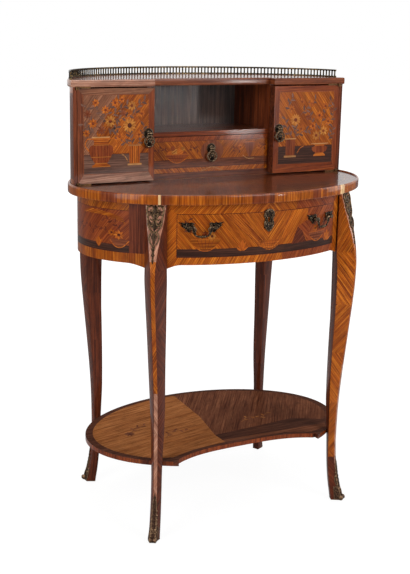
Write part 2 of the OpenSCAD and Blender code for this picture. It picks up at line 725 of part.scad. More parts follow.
// A turned bead on a rod, along Z
module bead(r, h) {
    rotate_extrude() polygon([[0, -h / 2], [r * 0.8, -h / 2], [r, -h / 4], [r, h / 4], [r * 0.8, h / 2], [0, h / 2]]);
}
module bail() {
    low = -bail_drop + corner_r;
    bar_half_w = arm_x - corner_r;
    bead_r = bail_r + 0.8;
    bead_h = 3;
    // each bend starts and ends just inside a bead
    inside = 0.5;
    turn = asin(inside / corner_r);
    color("#574b40") translate([0, -post_out, 0]) {
        for (s = [-1, 1]) mirror([s < 0 ? 1 : 0, 0, 0]) {
            translate([arm_x, 0, 0]) {
                rotate([0, 90, 0]) cylinder(r = pivot_r, h = bail_half_w - arm_x + post_r + 1);
                rotate([0, 90, 0]) cylinder(r = bead_r, h = 2 * bead_r, center = true);
                translate([0, 0, low + inside]) cylinder(r = bail_r, h = -low - inside);
                translate([0, 0, low]) bead(bead_r, bead_h);
            }
            translate([bar_half_w, 0, low]) rotate([90, 0, 0]) rotate([0, 0, turn - 90])
                rotate_extrude(angle = 90 - 2 * turn) translate([corner_r, 0]) circle(r = bail_r);
            translate([bar_half_w, 0, -bail_drop]) rotate([0, 90, 0]) bead(bead_r, bead_h);
        }
        translate([0, 0, -bail_drop]) rotate([0, 90, 0]) {
            cylinder(r = bail_r, h = 2 * (bar_half_w - inside), center = true);
            bead(knob_r, 2 * knob_r);
        }
    }
}
module bail_left() mirror([1, 0, 0]) bail_frame() bail();
module bail_right() bail_frame() bail();

// The cabinet on the top
module cabinet_floor() {
    color("#6a3c26") difference() {
        intersection() {
            oval_slab(shell_in_a, shell_in_b, surface_z, cabinet_floor_z);
            block([-far, bay_front_y, surface_z], [far, far, cabinet_floor_z]);
        }
        both_sides() for (p = cabinet_screw_places) translate([p[0], p[1], top_under_z])
            screw_hole(cabinet_screw_l + 1);
    }
}
partition_out = bay_half_w + partition_t;
module shell_ring() oval_ring(shell_a, shell_b, shell_t, surface_z, board_low_z);
module cabinet_side() {
    color("#6a3826") difference() {
        intersection() {
            shell_ring();
            block([partition_out, front_plane_y, surface_z], [far, far, board_low_z]);
        }
        eye_notch();
    }
}
module cabinet_side_left() mirror([1, 0, 0]) cabinet_side();
module cabinet_side_right() cabinet_side();
module cabinet_back() {
    color("#5a3424") intersection() {
        shell_ring();
        block([-partition_out, 10, surface_z], [partition_out, far, board_low_z]);
    }
}
module partitions() {
    color("#5e3626") both_sides() difference() {
        intersection() {
            oval_slab(shell_in_a, shell_in_b, cabinet_floor_z, board_low_z);
            block([bay_half_w, bay_front_y, cabinet_floor_z], [partition_out, far, board_low_z]);
        }
        block([bay_half_w + 2, bay_front_y - 1, catch_z - 9], [partition_out - 1, bay_front_y + 1.2, catch_z + 9]);
    }
}
module niche_shelf() {
    color("#6a3c26") block([-bay_half_w, bay_front_y, niche_shelf_z - niche_shelf_t],
        [bay_half_w, niche_back_y, niche_shelf_z]);
}
module niche_back() {
    color("#3c2a26") block([-bay_half_w, niche_back_y, cabinet_floor_z],
        [bay_half_w, niche_back_y + niche_back_t, board_low_z]);
}
module board_outline(inset) {
    difference() {
        intersection() {
            oval(board_a - inset, board_b - inset);
            translate([-far, front_plane_y]) square([2 * far, far]);
        }
        translate([-bay_half_w - 1, 0]) square([2 * bay_half_w + 2, bay_front_y]);
    }
}
edge_round = 3;
module cabinet_top() {
    color("#6a3a28") difference() {
        union() {
            translate([0, 0, board_low_z]) linear_extrude(edge_round) board_outline(2);
            translate([0, 0, board_low_z + edge_round]) linear_extrude(cabinet_top_t - 2 * edge_round)
                board_outline(0);
            translate([0, 0, cabinet_top_z - edge_round]) linear_extrude(edge_round) board_outline(1.5);
        }
        both_sides() hinge_recess(board_low_z - 1, 1 + hinge_sunk);
    }
}

// Doors, each on two pivot hinges at its outer front corner
door_edge = [[door_inner_x, front_plane_y], [door_outer_x, front_plane_y],
    [door_outer_x - door_bevel, front_plane_y + door_t], [door_inner_x, front_plane_y + door_t]];
hinge_t = 2.6;
hinge_sunk = 1.5;
hinge_l = 30;
hinge_w = 9;
hinge_pin_r = 1.8;
hinge_eye_r = 4.4;
module hinge_outline(gap) {
    translate([pivot_x, pivot_y]) circle(r = hinge_eye_r + gap);
    translate([pivot_x - hinge_l - gap, pivot_y + 1 - gap]) square([hinge_l - 1 + 2 * gap, hinge_w + 2 * gap]);
}
module hinge_recess(z, h) translate([0, 0, z]) linear_extrude(h) hinge_outline(hole_gap);
fixed_low = surface_z - hinge_sunk;
fixed_high = board_low_z + hinge_sunk;
leaf_low = door_low_z;
leaf_high = door_high_z - hinge_t;
module hinge_pair() {
    translate([0, 0, fixed_low]) linear_extrude(leaf_low - run_gap - fixed_low) hinge_outline(0);
    translate([pivot_x, pivot_y, fixed_low]) cylinder(r = hinge_pin_r, h = leaf_low + hinge_t - fixed_low);
    translate([0, 0, door_high_z + run_gap]) linear_extrude(fixed_high - door_high_z - run_gap) hinge_outline(0);
    translate([pivot_x, pivot_y, leaf_high]) cylinder(r = hinge_pin_r, h = fixed_high - leaf_high);
}
// Room for the hinges' eyes in the front edge of the cabinet wall
module eye_notch() {
    for (z = [[surface_z - 1, leaf_low + hinge_t + run_gap], [leaf_high - run_gap, board_low_z + 1]])
        translate([pivot_x, pivot_y, z[0]]) cylinder(r = hinge_eye_r + run_gap, h = z[1] - z[0]);
}
module hinge_plates() color("#a08850") both_sides() hinge_pair();
module hinge_leaf(z) {
    translate([0, 0, z]) linear_extrude(hinge_t) difference() {
        union() {
            translate([pivot_x, pivot_y]) circle(r = hinge_eye_r);
            polygon([[pivot_x - hinge_l, pivot_y + 1], [pivot_x, pivot_y + 1],
                [pivot_x - door_bevel * hinge_w / door_t, pivot_y + 1 + hinge_w],
                [pivot_x - hinge_l, pivot_y + 1 + hinge_w]]);
        }
        translate([pivot_x, pivot_y]) circle(r = hinge_pin_r + pin_gap);
    }
}
module leaf_pair() {
    color("#a08850") {
        hinge_leaf(leaf_low);
        hinge_leaf(leaf_high);
    }
}
module door_left_hinge_leaves() mirror([1, 0, 0]) leaf_pair();
module door_right_hinge_leaves() leaf_pair();
pull_x = door_inner_x + door_pull_edge;
catch_z = niche_shelf_z + 0.6 * niche_h;
catch_r = 3;
catch_l = 12;
catch_x = bay_half_w + partition_t / 2 + 0.5;
module door() {
    color("#7c4227") difference() {
        translate([0, 0, door_low_z]) linear_extrude(door_high_z - door_low_z) polygon(door_edge);
        for (z = [[leaf_low - 1, leaf_low + hinge_t + hole_gap], [leaf_high - hole_gap, door_high_z + 1]]) {
            block([pivot_x - hinge_l - hole_gap, pivot_y, z[0]],
                [far, pivot_y + 1 + hinge_w + hole_gap, z[1]]);
            translate([pivot_x, pivot_y, z[0]]) cylinder(r = hinge_eye_r + hole_gap, h = z[1] - z[0]);
        }
        for (z = [leaf_low, leaf_high - 0.4]) translate([pivot_x, pivot_y, z])
            cylinder(r = hinge_pin_r + run_gap, h = hinge_t + 0.4);
        translate([pull_x, front_plane_y + door_t, door_pull_z]) rotate([90, 0, 0])
            cylinder(r = stud_r + hole_gap, h = 3 * door_t, center = true);
        translate([catch_x, front_plane_y + door_t, catch_z]) rotate([90, 0, 0])
            cylinder(r = catch_r + hole_gap, h = 2 * catch_l + 0.4, center = true);
    }
}
module door_left() mirror([1, 0, 0]) door();
module door_right() door();
// A bullet catch in each door, and its dimpled plate in the partition's front edge
module door_catch() {
    color("#b89a50") translate([catch_x, front_plane_y + door_t, catch_z]) rotate([90, 0, 0]) {
        cylinder(r = catch_r, h = catch_l);
        translate([0, 0, -0.05]) cylinder(r = 1.6, h = 1);
    }
}
module door_left_catch() mirror([1, 0, 0]) door_catch();
module door_right_catch() door_catch();
module catch_plates() {
    color("#b89a50") both_sides() difference() {
        block([bay_half_w + 2, bay_front_y, catch_z - 9], [partition_out - 1, bay_front_y + 1.2, catch_z + 9]);
        translate([catch_x, bay_front_y, catch_z]) rotate([90, 0, 0]) cylinder(r = 1.8, h = 1, center = true);
    }
}

// Rosettes and the pear-shaped drops that hang from them
lug_x = 4.6;
lug_t = 1.6;
drop_out = 6;
eye_r = 2.4;
module rosette(depth) {
    color("#4a4038") {
        rotate([90, 0, 0]) rotate_extrude() polygon([[0, 0], [rosette_r, 0], [rosette_r, 1.2],
            [rosette_r - 2.5, 2.6], [rosette_r - 5, 1.8], [0, 2.2]]);
        stud(depth);
        for (s = [-1, 1]) {
            translate([s * (lug_x + lug_t / 2), -drop_out / 2 - 0.5, 0])
                cube([lug_t, drop_out - 1, 2 * eye_r], center = true);
            translate([s * (lug_x + lug_t / 2), -drop_out, 0]) rotate([0, 90, 0])
                cylinder(r = eye_r, h = lug_t, center = true);
        }
        translate([0, -drop_out, 0]) rotate([0, 90, 0])
            cylinder(r = drop_pin_r, h = 2 * (lug_x + lug_t) + 0.6, center = true);
    }
}
module drop() {
    bowl_r = 13.2;
    bowl_z = -(drop_h - bowl_r);
    color("#4a4038") translate([0, -drop_out, 0]) difference() {
        union() {
            rotate([0, 90, 0]) cylinder(r = eye_r, h = 2 * lug_x - 0.6, center = true);
            translate([0, 1.5, 0]) rotate([90, 0, 0]) linear_extrude(3) difference() {
                union() {
                    translate([0, bowl_z]) circle(r = bowl_r);
                    polygon([[-3.2, 0], [3.2, 0], [3.4, -5], [7.6, bowl_z + 10.2], [-7.6, bowl_z + 10.2],
                        [-3.4, -5]]);
                }
                for (s = [-1, 1]) translate([s * 6.4, bowl_z + 2.5]) circle(r = 3.6);
                translate([0, bowl_z - 6]) circle(r = 3.6);
            }
        }
        rotate([0, 90, 0]) cylinder(r = drop_pin_r + pin_gap, h = 40, center = true);
    }
}
module right_pull_place() translate([pull_x, front_plane_y, door_pull_z]) children();
module door_left_rosette() mirror([1, 0, 0]) right_pull_place() rosette(door_t);
module door_right_rosette() right_pull_place() rosette(door_t);
module door_left_drop() mirror([1, 0, 0]) right_pull_place() drop();
module door_right_drop() right_pull_place() drop();

// The small drawer under the niche
small_half_w = bay_half_w - 1.3;
small_low_z = cabinet_floor_z + run_gap;
small_high_z = niche_shelf_z - niche_shelf_t - front_gap;
small_side_h = small_high_z - small_low_z - small_side_drop;
small_end_y = niche_back_y - 5;
small_bottom_z = small_low_z + 4;
small_pull_z = small_low_z + small_pull_share * (small_high_z - small_low_z);
module small_drawer_front() {
    color("#a5622c") difference() {
        block([-small_half_w, bay_front_y, small_low_z], [small_half_w, bay_front_y + small_front_t, small_high_z]);
        translate([0, bay_front_y, small_pull_z]) rotate([90, 0, 0])
            cylinder(r = stud_r + hole_gap, h = 3 * small_front_t, center = true);
    }
}
module small_drawer_sides() {
    color("#b08a5c") both_sides() difference() {
        block([small_half_w - small_side_t, bay_front_y + small_front_t, small_low_z],
            [small_half_w, small_end_y, small_low_z + small_side_h]);
        block([0, 0, small_bottom_z - glue_gap], [small_half_w - small_side_t + 3 + glue_gap, far,
            small_bottom_z + small_bottom_t + glue_gap]);
    }
}
module small_drawer_back() {
    inside = small_half_w - small_side_t;
    color("#b08a5c") block([-inside, small_end_y - small_side_t, small_bottom_z + small_bottom_t],
        [inside, small_end_y, small_low_z + small_side_h - 4]);
}
module small_drawer_bottom() {
    reach = small_half_w - small_side_t + 3;
    color("#a27c50") block([-reach, bay_front_y + small_front_t, small_bottom_z],
        [reach, small_end_y, small_bottom_z + small_bottom_t]);
}
module small_pull_place() translate([0, bay_front_y, small_pull_z]) children();
module small_drawer_rosette() small_pull_place() rosette(small_front_t);
module small_drawer_drop() small_pull_place() drop();

// The gallery round the back and sides of the cabinet's top
gallery_front_y = front_plane_y + 24;
strip_h = 2.4;
rail_h = 3.4;
gallery_a = board_a - gallery_inset;
gallery_b = board_b - gallery_inset;
spindle_a = gallery_a - gallery_w / 2;
spindle_b = gallery_b - gallery_w / 2;
module gallery_strip(w, z0, z1) {
    intersection() {
        oval_ring(gallery_a - (gallery_w - w) / 2, gallery_b - (gallery_w - w) / 2, w, z0, z1);
        block([-far, gallery_front_y, z0], [far, far, z1]);
    }
}
module gallery_base() color("#b08d3c") gallery_strip(gallery_w, cabinet_top_z, cabinet_top_z + strip_h);
module gallery_rail() {
    color("#b08d3c") gallery_strip(gallery_w - 1, cabinet_top_z + gallery_h - rail_h, cabinet_top_z + gallery_h);
}
// Spindle places: even steps along the oval, from one end to its middle
spindle_start = asin((gallery_front_y + 2.5) / spindle_b);
function oval_speed(t) = norm([spindle_a * sin(t), spindle_b * cos(t)]) * PI / 180;
function spindle_angles(t) = t > 90 ? [] : concat([t], spindle_angles(t + spindle_pitch / oval_speed(t)));
module gallery_spindles() {
    angles = spindle_angles(spindle_start);
    color("#b08d3c") for (t = angles) {
        p = oval_at(spindle_a, spindle_b, t);
        h = gallery_h - rail_h - strip_h;
        translate([p[0], p[1], cabinet_top_z + strip_h]) cylinder(r = spindle_r, h = h, $fn = 16);
        if (p[0] > 0.6 * spindle_pitch || t == angles[0])
            translate([-p[0], p[1], cabinet_top_z + strip_h]) cylinder(r = spindle_r, h = h, $fn = 16);
    }
}

table_top();
table_edge_band();
apron_left();
apron_right();
apron_back();
bearer_rail();
top_rail();
drawer_runners();
drawer_kickers();
corner_blocks();
leg_front_left();
leg_front_right();
leg_back_left();
leg_back_right();
chutes();
sabots();
undertier_shelf();
shelf_dowels();
top_screws();
main_drawer_front();
main_drawer_sides();
main_drawer_back();
main_drawer_bottom();
escutcheon();
drawer_lock();
lock_bolt();
bail_plates();
bail_left();
bail_right();
cabinet_floor();
cabinet_side_left();
cabinet_side_right();
cabinet_back();
partitions();
niche_shelf();
niche_back();
cabinet_top();
cabinet_screws();
door_left();
door_right();
hinge_plates();
door_left_hinge_leaves();
door_right_hinge_leaves();
catch_plates();
door_left_catch();
door_right_catch();
door_left_rosette();
door_right_rosette();
door_left_drop();
door_right_drop();
small_drawer_front();
small_drawer_sides();
small_drawer_back();
small_drawer_bottom();
small_drawer_rosette();
small_drawer_drop();
gallery_base();
gallery_spindles();
gallery_rail();
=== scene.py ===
import bpy
import bmesh
import math
import random
import numpy as np
from mathutils import Matrix, Vector


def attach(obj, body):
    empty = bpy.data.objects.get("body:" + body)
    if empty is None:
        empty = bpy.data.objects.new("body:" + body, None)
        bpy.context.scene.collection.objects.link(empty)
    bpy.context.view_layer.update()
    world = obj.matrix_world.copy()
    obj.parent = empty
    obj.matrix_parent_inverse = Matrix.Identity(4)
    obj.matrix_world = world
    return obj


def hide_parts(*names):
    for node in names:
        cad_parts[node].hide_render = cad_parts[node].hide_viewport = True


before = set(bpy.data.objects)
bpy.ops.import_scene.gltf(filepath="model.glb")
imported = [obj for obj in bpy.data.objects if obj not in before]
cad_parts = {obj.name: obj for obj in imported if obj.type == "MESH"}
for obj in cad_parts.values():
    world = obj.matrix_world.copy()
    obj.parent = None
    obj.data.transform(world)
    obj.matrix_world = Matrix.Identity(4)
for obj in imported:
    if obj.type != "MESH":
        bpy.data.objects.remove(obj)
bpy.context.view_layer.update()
toMetres = 0.001   # every size below is in millimetres, as on the drawing


# colours, camera and light
def screenColour(r, g, b):
    def one(c):
        c = c / 255
        return c / 12.92 if c <= 0.04045 else ((c + 0.055) / 1.055) ** 2.4
    return (one(r), one(g), one(b), 1.0)


camera = {"place": (-1176.5, -2086.2, 1078.4), "turn": 28.86, "tilt": 13.76, "roll": 1.13, "lens": 68.39,
          "sensor": 36, "farEnd": 50}


def addObject(name, data):
    obj = bpy.data.objects.new(name, data)
    bpy.context.scene.collection.objects.link(obj)
    return obj


def setCamera():
    data = bpy.data.cameras.new("camera")
    data.lens = camera["lens"]
    data.sensor_fit = "VERTICAL"
    data.sensor_width = data.sensor_height = camera["sensor"]
    data.clip_end = camera["farEnd"]
    turn, tilt, roll = (math.radians(camera[k]) for k in ("turn", "tilt", "roll"))
    ahead = Vector((math.sin(turn) * math.cos(tilt), math.cos(turn) * math.cos(tilt), -math.sin(tilt)))
    right = Vector((math.cos(turn), -math.sin(turn), 0))
    up = right.cross(ahead)
    right, up = math.cos(roll) * right + math.sin(roll) * up, math.cos(roll) * up - math.sin(roll) * right
    m = Matrix((right, up, -ahead)).transposed().to_4x4()
    m.translation = Vector(camera["place"]) * toMetres
    cam = addObject("camera", data)
    cam.matrix_world = m
    bpy.context.scene.camera = cam


world = {"colour": (1, 0.97, 0.94, 1), "strength": 0.14}
lamps = [   # name, place, aim, size, watts
    ("left_window", (-2100, -900, 1300), (0, 0, 600), (1000, 1900), 34),
    ("front_fill", (900, -2500, 1700), (0, 0, 560), (1300, 1300), 44),
    ("top_soft", (-100, 500, 2500), (0, 0, 700), (1500, 1000), 16),
    ("right_soft", (2000, -500, 1200), (0, 0, 500), (700, 1600), 12),
    ("niche_glint", (1410, -2211, 700), (20, 189, 890), (125, 260), 4.4),
]


def wire(nt, node, inputs):
    # each input gets another node's output, or a plain value
    for key, value in inputs.items():
        if isinstance(value, bpy.types.NodeSocket):
            nt.links.new(value, node.inputs[key])
        else:
            node.inputs[key].default_value = value


def addNode(nt, kind, inputs={}, **settings):
    node = nt.nodes.new(kind)
    for key, value in settings.items():
        setattr(node, key, value)
    wire(nt, node, inputs)
    return node


def addMath(nt, operation, a, b):
    return addNode(nt, "ShaderNodeMath", {0: a, 1: b}, operation=operation).outputs[0]


def mapRange(nt, value, low, high, fromLow=0.0, fromHigh=1.0, **settings):
    return addNode(nt, "ShaderNodeMapRange", {"Value": value, "From Min": fromLow, "From Max": fromHigh,
                                              "To Min": low, "To Max": high}, **settings).outputs[0]


def seenBy(nt, *names):
    # 1 for the kinds of ray that are named
    path = addNode(nt, "ShaderNodeLightPath").outputs
    last = path[names[0]]
    for name in names[1:]:
        last = addMath(nt, "MAXIMUM", last, path[name])
    return last


def setLight():
    for name, place, aim, size, watts in lamps:
        data = bpy.data.lights.new(name, "AREA")
        data.shape = "RECTANGLE"
        data.size, data.size_y = size[0] * toMetres, size[1] * toMetres
        data.energy = watts
        lamp = addObject(name, data)
        lamp.location = Vector(place) * toMetres
        lamp.rotation_euler = (Vector(aim) - Vector(place)).to_track_quat("-Z", "Y").to_euler()
    studio = bpy.data.worlds.new("studio")
    bpy.context.scene.world = studio
    studio.use_nodes = True
    nt = studio.node_tree
    nt.nodes.clear()
    white = addNode(nt, "ShaderNodeBackground", {0: (1, 1, 1, 1), 1: 1.0})
    room = addNode(nt, "ShaderNodeBackground", {0: world["colour"], 1: world["strength"]})
    straight = seenBy(nt, "Is Camera Ray", "Is Glossy Ray", "Is Transmission Ray")
    mix = addNode(nt, "ShaderNodeMixShader", {0: straight, 1: room.outputs[0], 2: white.outputs[0]})
    addNode(nt, "ShaderNodeOutputWorld", {0: mix.outputs[0]})


def newMaterial(name):
    m = bpy.data.materials.new(name)
    m.use_nodes = True
    nt = m.node_tree
    nt.nodes.clear()
    skin = addNode(nt, "ShaderNodeBsdfPrincipled")
    out = addNode(nt, "ShaderNodeOutputMaterial", {0: skin.outputs[0]})
    return m, nt, skin, out


stage = {"half": 14, "grey": 0.62, "rough": 0.6, "glow": 1.16, "shadowFrom": 0.45, "shadowTo": 1.1,
         "least": 0.8}


def setStage():
    m, nt, skin, out = newMaterial("pale_floor")
    wire(nt, skin, {"Base Color": (stage["grey"],) * 3 + (1,), "Roughness": stage["rough"]})
    glow = addNode(nt, "ShaderNodeEmission", {0: (1, 1, 1, 1), 1: stage["glow"]})
    where = addNode(nt, "ShaderNodeTexCoord").outputs["Object"]
    far = addNode(nt, "ShaderNodeVectorMath", {0: where}, operation="LENGTH").outputs["Value"]
    # shadows show near the desk and fade out round it
    share = mapRange(nt, far, stage["least"], 1.0, stage["shadowFrom"], stage["shadowTo"],
                     interpolation_type="SMOOTHSTEP")
    part = addMath(nt, "MULTIPLY", seenBy(nt, "Is Camera Ray", "Is Transmission Ray"), share)
    mix = addNode(nt, "ShaderNodeMixShader", {0: part, 1: skin.outputs[0], 2: glow.outputs[0]})
    wire(nt, out, {0: mix.outputs[0]})
    me = bpy.data.meshes.new("floor")
    r = stage["half"]
    me.from_pydata([(-r, -r, 0), (r, -r, 0), (r, r, 0), (-r, r, 0)], [], [(0, 1, 2, 3)])
    me.materials.append(m)
    addObject("floor", me)


setCamera()
setLight()
setStage()
bpy.context.scene.view_settings.view_transform = "Standard"
print("camera, lamps and floor are set")


# materials
def addRamp(nt, value, places, colours):
    ramp = addNode(nt, "ShaderNodeValToRGB", {0: value})
    stops = ramp.color_ramp.elements
    stops.new(0.5)
    for k, (place, colour) in enumerate(zip(places, colours)):
        stops[k].position = place
        stops[k].color = screenColour(*colour)
    return ramp.outputs[0]


def addNoise(nt, vector, stretch, detail=3.0, rough=0.55, warp=0.0):
    turned = addNode(nt, "ShaderNodeMapping", {"Scale": stretch, "Vector": vector}).outputs[0]
    return addNode(nt, "ShaderNodeTexNoise", {"Vector": turned, "Scale": 1.0, "Detail": detail,
                                              "Roughness": rough, "Distortion": warp}).outputs["Fac"]


def mixFloat(nt, a, b, share):
    return addNode(nt, "ShaderNodeMix", {"Factor": share, 2: a, 3: b}, data_type="FLOAT").outputs[0]


oak = ((120, 78, 48), (168, 122, 84), (194, 150, 112), 120, 0.55)
matt = (0.1, 1.2, 0.4)
satin = (0.2, 1.25, 0.3)
# Dark, middle and light of each wood, its streaks to the metre and its roughness. Solid boards add
# the axis of their grain (0 is X, 1 is Y, 2 is Z), some with weight, IOR and roughness of the polish,
# and the strength of the bump.
woods = {
    "tulipwood": ((80, 28, 4), (145, 67, 10), (206, 120, 32), 700, 0.30),
    "red_fruitwood": ((58, 19, 7), (112, 47, 18), (152, 77, 32), 700, 0.30),
    "kingwood": ((36, 12, 7), (82, 34, 17), (122, 58, 30), 700, 0.30),
    "amaranth": ((36, 14, 9), (66, 29, 18), (92, 46, 30), 500, 0.32),
    "dyed_ground": ((24, 12, 9), (50, 27, 19), (78, 45, 31), 500, 0.34),
    "walnut": ((60, 26, 14), (108, 53, 29), (144, 80, 46), 640, 0.32),
    "satinwood": ((140, 76, 22), (186, 112, 42), (220, 152, 70), 500, 0.30),
    "boxwood": ((120, 72, 34), (166, 110, 60), (202, 148, 92), 400, 0.32),
    "grey_leaf": ((58, 38, 32), (98, 66, 54), (132, 96, 78), 420, 0.36),
    "orange_fruitwood": ((118, 48, 10), (168, 82, 20), (208, 122, 40), 500, 0.30),
    # a pale copy of the reddish woods, a painted sheen of the lamps: laid on the left door's lower border,
    # the left wing of the cabinet top's edge and the legs' outer corners
    "pale_border": ((112, 66, 48), (154, 104, 82), (192, 146, 122), 520, 0.30),
    # a lighter tulipwood for the left door only: painted haze of reflected light
    "faded_tulipwood": ((80, 44, 28), (124, 76, 52), (160, 110, 80), 640, 0.30),
    "holly": ((150, 110, 70), (208, 168, 118), (238, 206, 162), 400, 0.30),
    # the ochre and red shelf woods are the lit and the shaded look of one shelf veneer, painted sheen and
    # painted shade; both also serve as marquetry woods
    "shelf_red": ((66, 32, 20), (102, 60, 42), (136, 86, 60), 420, 0.5, None, matt),
    "shelf_dark": ((46, 24, 16), (76, 45, 34), (104, 66, 50), 400, 0.5, None, matt),
    "shelf_ochre": ((100, 54, 26), (152, 92, 50), (190, 128, 78), 420, 0.5, None, matt),
    "carcase_oak": (*oak, 0, satin),
    "carcase_oak_deep": (*oak, 1, satin),
    "stained_upright": ((40, 15, 8), (88, 38, 18), (124, 60, 30), 180, 0.34, 2),
    "stained_level": ((42, 18, 10), (82, 38, 22), (110, 58, 34), 180, 0.32, 0),
    # near-black for the disc behind the keyhole: painted shade inside the hole
    "keyhole_dark": ((4, 3, 3), (7, 6, 5), (11, 9, 8), 200, 0.9, 2, (0.0, 1.2, 0.5)),
    "dark_niche": ((32, 20, 16), (74, 52, 44), (120, 90, 76), 420, 0.36, 2, (1.0, 1.5, 0.15), 0.9),
}


def makeWood(name, dark, middle, light, streaks, polish, axis=None, coat=(0.75, 1.25, 0.09), rise=0.35):
    m, nt, skin, _ = newMaterial(name)
    if axis is None:
        vector = addNode(nt, "ShaderNodeUVMap", uv_map="grain").outputs[0]
    else:
        vector = addNode(nt, "ShaderNodeTexCoord").outputs["Object"]

    def grainNoise(along, across, *rest):
        return addNoise(nt, vector, [along if k == (axis or 0) else across for k in range(3)], *rest)
    streak = grainNoise(7, streaks, 4, 0.6, 0.25)
    broad = grainNoise(5, streaks * 0.16, 3, 0.5, 0.4)
    pore = grainNoise(60, streaks * 9, 2, 0.6)
    colour = addRamp(nt, mixFloat(nt, streak, broad, 0.25), (0.34, 0.49, 0.65), (dark, middle, light))
    # brightness is the pores, the piece's own tone, and soft clouds as in old polished veneer
    tone = addNode(nt, "ShaderNodeAttribute", attribute_name="tone").outputs["Fac"]
    cloud = mapRange(nt, grainNoise(26, 110, 4, 0.62, 0.8), -0.25, 0.27, 0.3, 0.7)
    bright = addMath(nt, "ADD", addMath(nt, "ADD", mapRange(nt, pore, 0.72, 1.0, 0.30, 0.48), tone), cloud)
    deep = rise > 0.5
    bump = addNode(nt, "ShaderNodeBump", {"Strength": rise, "Distance": 0.0007 if deep else 0.0002,
                                          "Height": mixFloat(nt, pore, streak, 0.3)}).outputs[0]
    wire(nt, skin, {
        "Base Color": addNode(nt, "ShaderNodeHueSaturation", {"Color": colour, "Value": bright}).outputs[0],
        "Roughness": mapRange(nt, broad, polish - 0.05, polish + 0.12), "Normal": bump,
        "Specular IOR Level": 0.08 if coat[0] > 0.3 else 0.0,
        "Coat Weight": coat[0], "Coat IOR": coat[1], "Coat Roughness": coat[2]})
    if deep:
        wire(nt, skin, {"Coat Normal": bump})
    return m


metals = {   # deep, body and edge colour, roughness, share of wear, speckles to the metre
    "shoe_bronze": ((24, 15, 11), (70, 48, 36), (140, 112, 84), 0.42, 0.35, 1500),
    "dark_bronze": ((20, 13, 8), (48, 34, 23), (120, 94, 66), 0.36, 0.3),
    "darkest_bronze": ((9, 7, 6), (30, 23, 18), (132, 108, 82), 0.32, 0.3, 1300),
    # the gallery's gilt brass is given a near-black body so it reads dark: painted dark reflection of the
    # room
    "gilt_brass": ((10, 8, 6), (28, 22, 17), (124, 100, 62), 0.3, 0.05),
    # brass darkened so the hinge plates read dark in the gap under the doors: painted shade
    "aged_brass": ((24, 15, 9), (52, 33, 19), (92, 64, 38), 0.42, 0.3),
    "plain_brass": ((110, 88, 44), (168, 140, 82), (206, 182, 128), 0.34, 0.3),
    "screw_steel": ((92, 90, 86), (150, 148, 144), (190, 188, 184), 0.34, 0.3),
}


def makeMetal(name, deep, body, edge, rough, speckle, grain=900):
    m, nt, skin, _ = newMaterial(name)
    vector = addNode(nt, "ShaderNodeTexCoord").outputs["Object"]
    patina = addNoise(nt, vector, (grain * 0.35,) * 3, 4, 0.65)
    fine = addNoise(nt, vector, (grain,) * 3, 3, 0.6)
    worn = mapRange(nt, addNode(nt, "ShaderNodeNewGeometry").outputs["Pointiness"], 0.0, 1.0, 0.47, 0.60)
    colour = addRamp(nt, mixFloat(nt, patina, worn, speckle), (0.32, 0.50, 0.72), (deep, body, edge))
    bump = addNode(nt, "ShaderNodeBump", {"Strength": 0.3, "Distance": 0.0003, "Height": fine}).outputs[0]
    wire(nt, skin, {"Base Color": colour, "Metallic": 0.9, "Normal": bump,
                    "Roughness": mapRange(nt, fine, rough - 0.1, rough + 0.15)})
    return m


skins = {name: makeWood(name, *look) for name, look in woods.items()}
skins.update({name: makeMetal(name, *look) for name, look in metals.items()})
print("materials are made:", len(bpy.data.materials))


# mesh helpers
class Solid:
    # gathers corners and faces of one piece before it becomes a mesh
    def __init__(self):
        self.corners, self.faces, self.grain, self.tones, self.skins = [], [], [], [], []

    def add(self, corners, faces, grain=None, tone=0.0, skin=0):
        start = len(self.corners)
        self.corners += [tuple(c) for c in corners]
        for face in faces:
            self.faces.append([start + i for i in face])
            self.grain.append([grain[i] if grain else (0.0, 0.0) for i in face])
            self.tones.append(tone)
            self.skins.append(skin)


def addPiece(name, mesh, body, replacing=()):
    obj = addObject(name, mesh)
    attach(obj, body)
    if replacing:
        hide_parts(*replacing)
    return obj


def smoothed(mesh, angle):
    mesh.polygons.foreach_set("use_smooth", [True] * len(mesh.polygons))
    mesh.set_sharp_from_angle(angle=math.radians(angle))


def makePiece(name, solid, body, looks, smooth=None, replacing=()):
    me = bpy.data.meshes.new(name)
    me.from_pydata([tuple(v * toMetres for v in c) for c in solid.corners], [], solid.faces)
    for look in looks:
        me.materials.append(skins[look])
    me.polygons.foreach_set("material_index", solid.skins)
    layer = me.uv_layers.new(name="grain")
    layer.data.foreach_set("uv", [v * toMetres for face in solid.grain for point in face for v in point])
    tone = me.attributes.new("tone", "FLOAT", "FACE")
    tone.data.foreach_set("value", solid.tones)
    me.update()
    if smooth is not None:
        smoothed(me, smooth)
    return addPiece(name, me, body, replacing)


def castPiece(name, solid, body, look, smooth=50, replacing=()):
    # a cast piece, with every face turned outwards
    me = makePiece(name, solid, body, [look], smooth, replacing).data
    bm = bmesh.new()
    bm.from_mesh(me)
    bmesh.ops.recalc_face_normals(bm, faces=bm.faces)
    bm.to_mesh(me)
    bm.free()


def curveThrough(points, count, closed=False):
    p = np.array(points, float)
    n = len(p)
    if closed:
        p = np.vstack([p[-1], p, p[0], p[1]])
        spans = n
    else:
        p = np.vstack([2 * p[0] - p[1], p, 2 * p[-1] - p[-2]])
        spans = n - 1
    out = []
    steps = count if closed else count - 1
    for k in range(count):
        t = k * spans / steps
        i = min(int(t), spans - 1)
        u = t - i
        a, b, c, d = p[i], p[i + 1], p[i + 2], p[i + 3]
        out.append(0.5 * (2 * b + (c - a) * u + (2 * a - 5 * b + 4 * c - d) * u * u
                          + (3 * b - a - 3 * c + d) * u ** 3))
    return np.array(out)


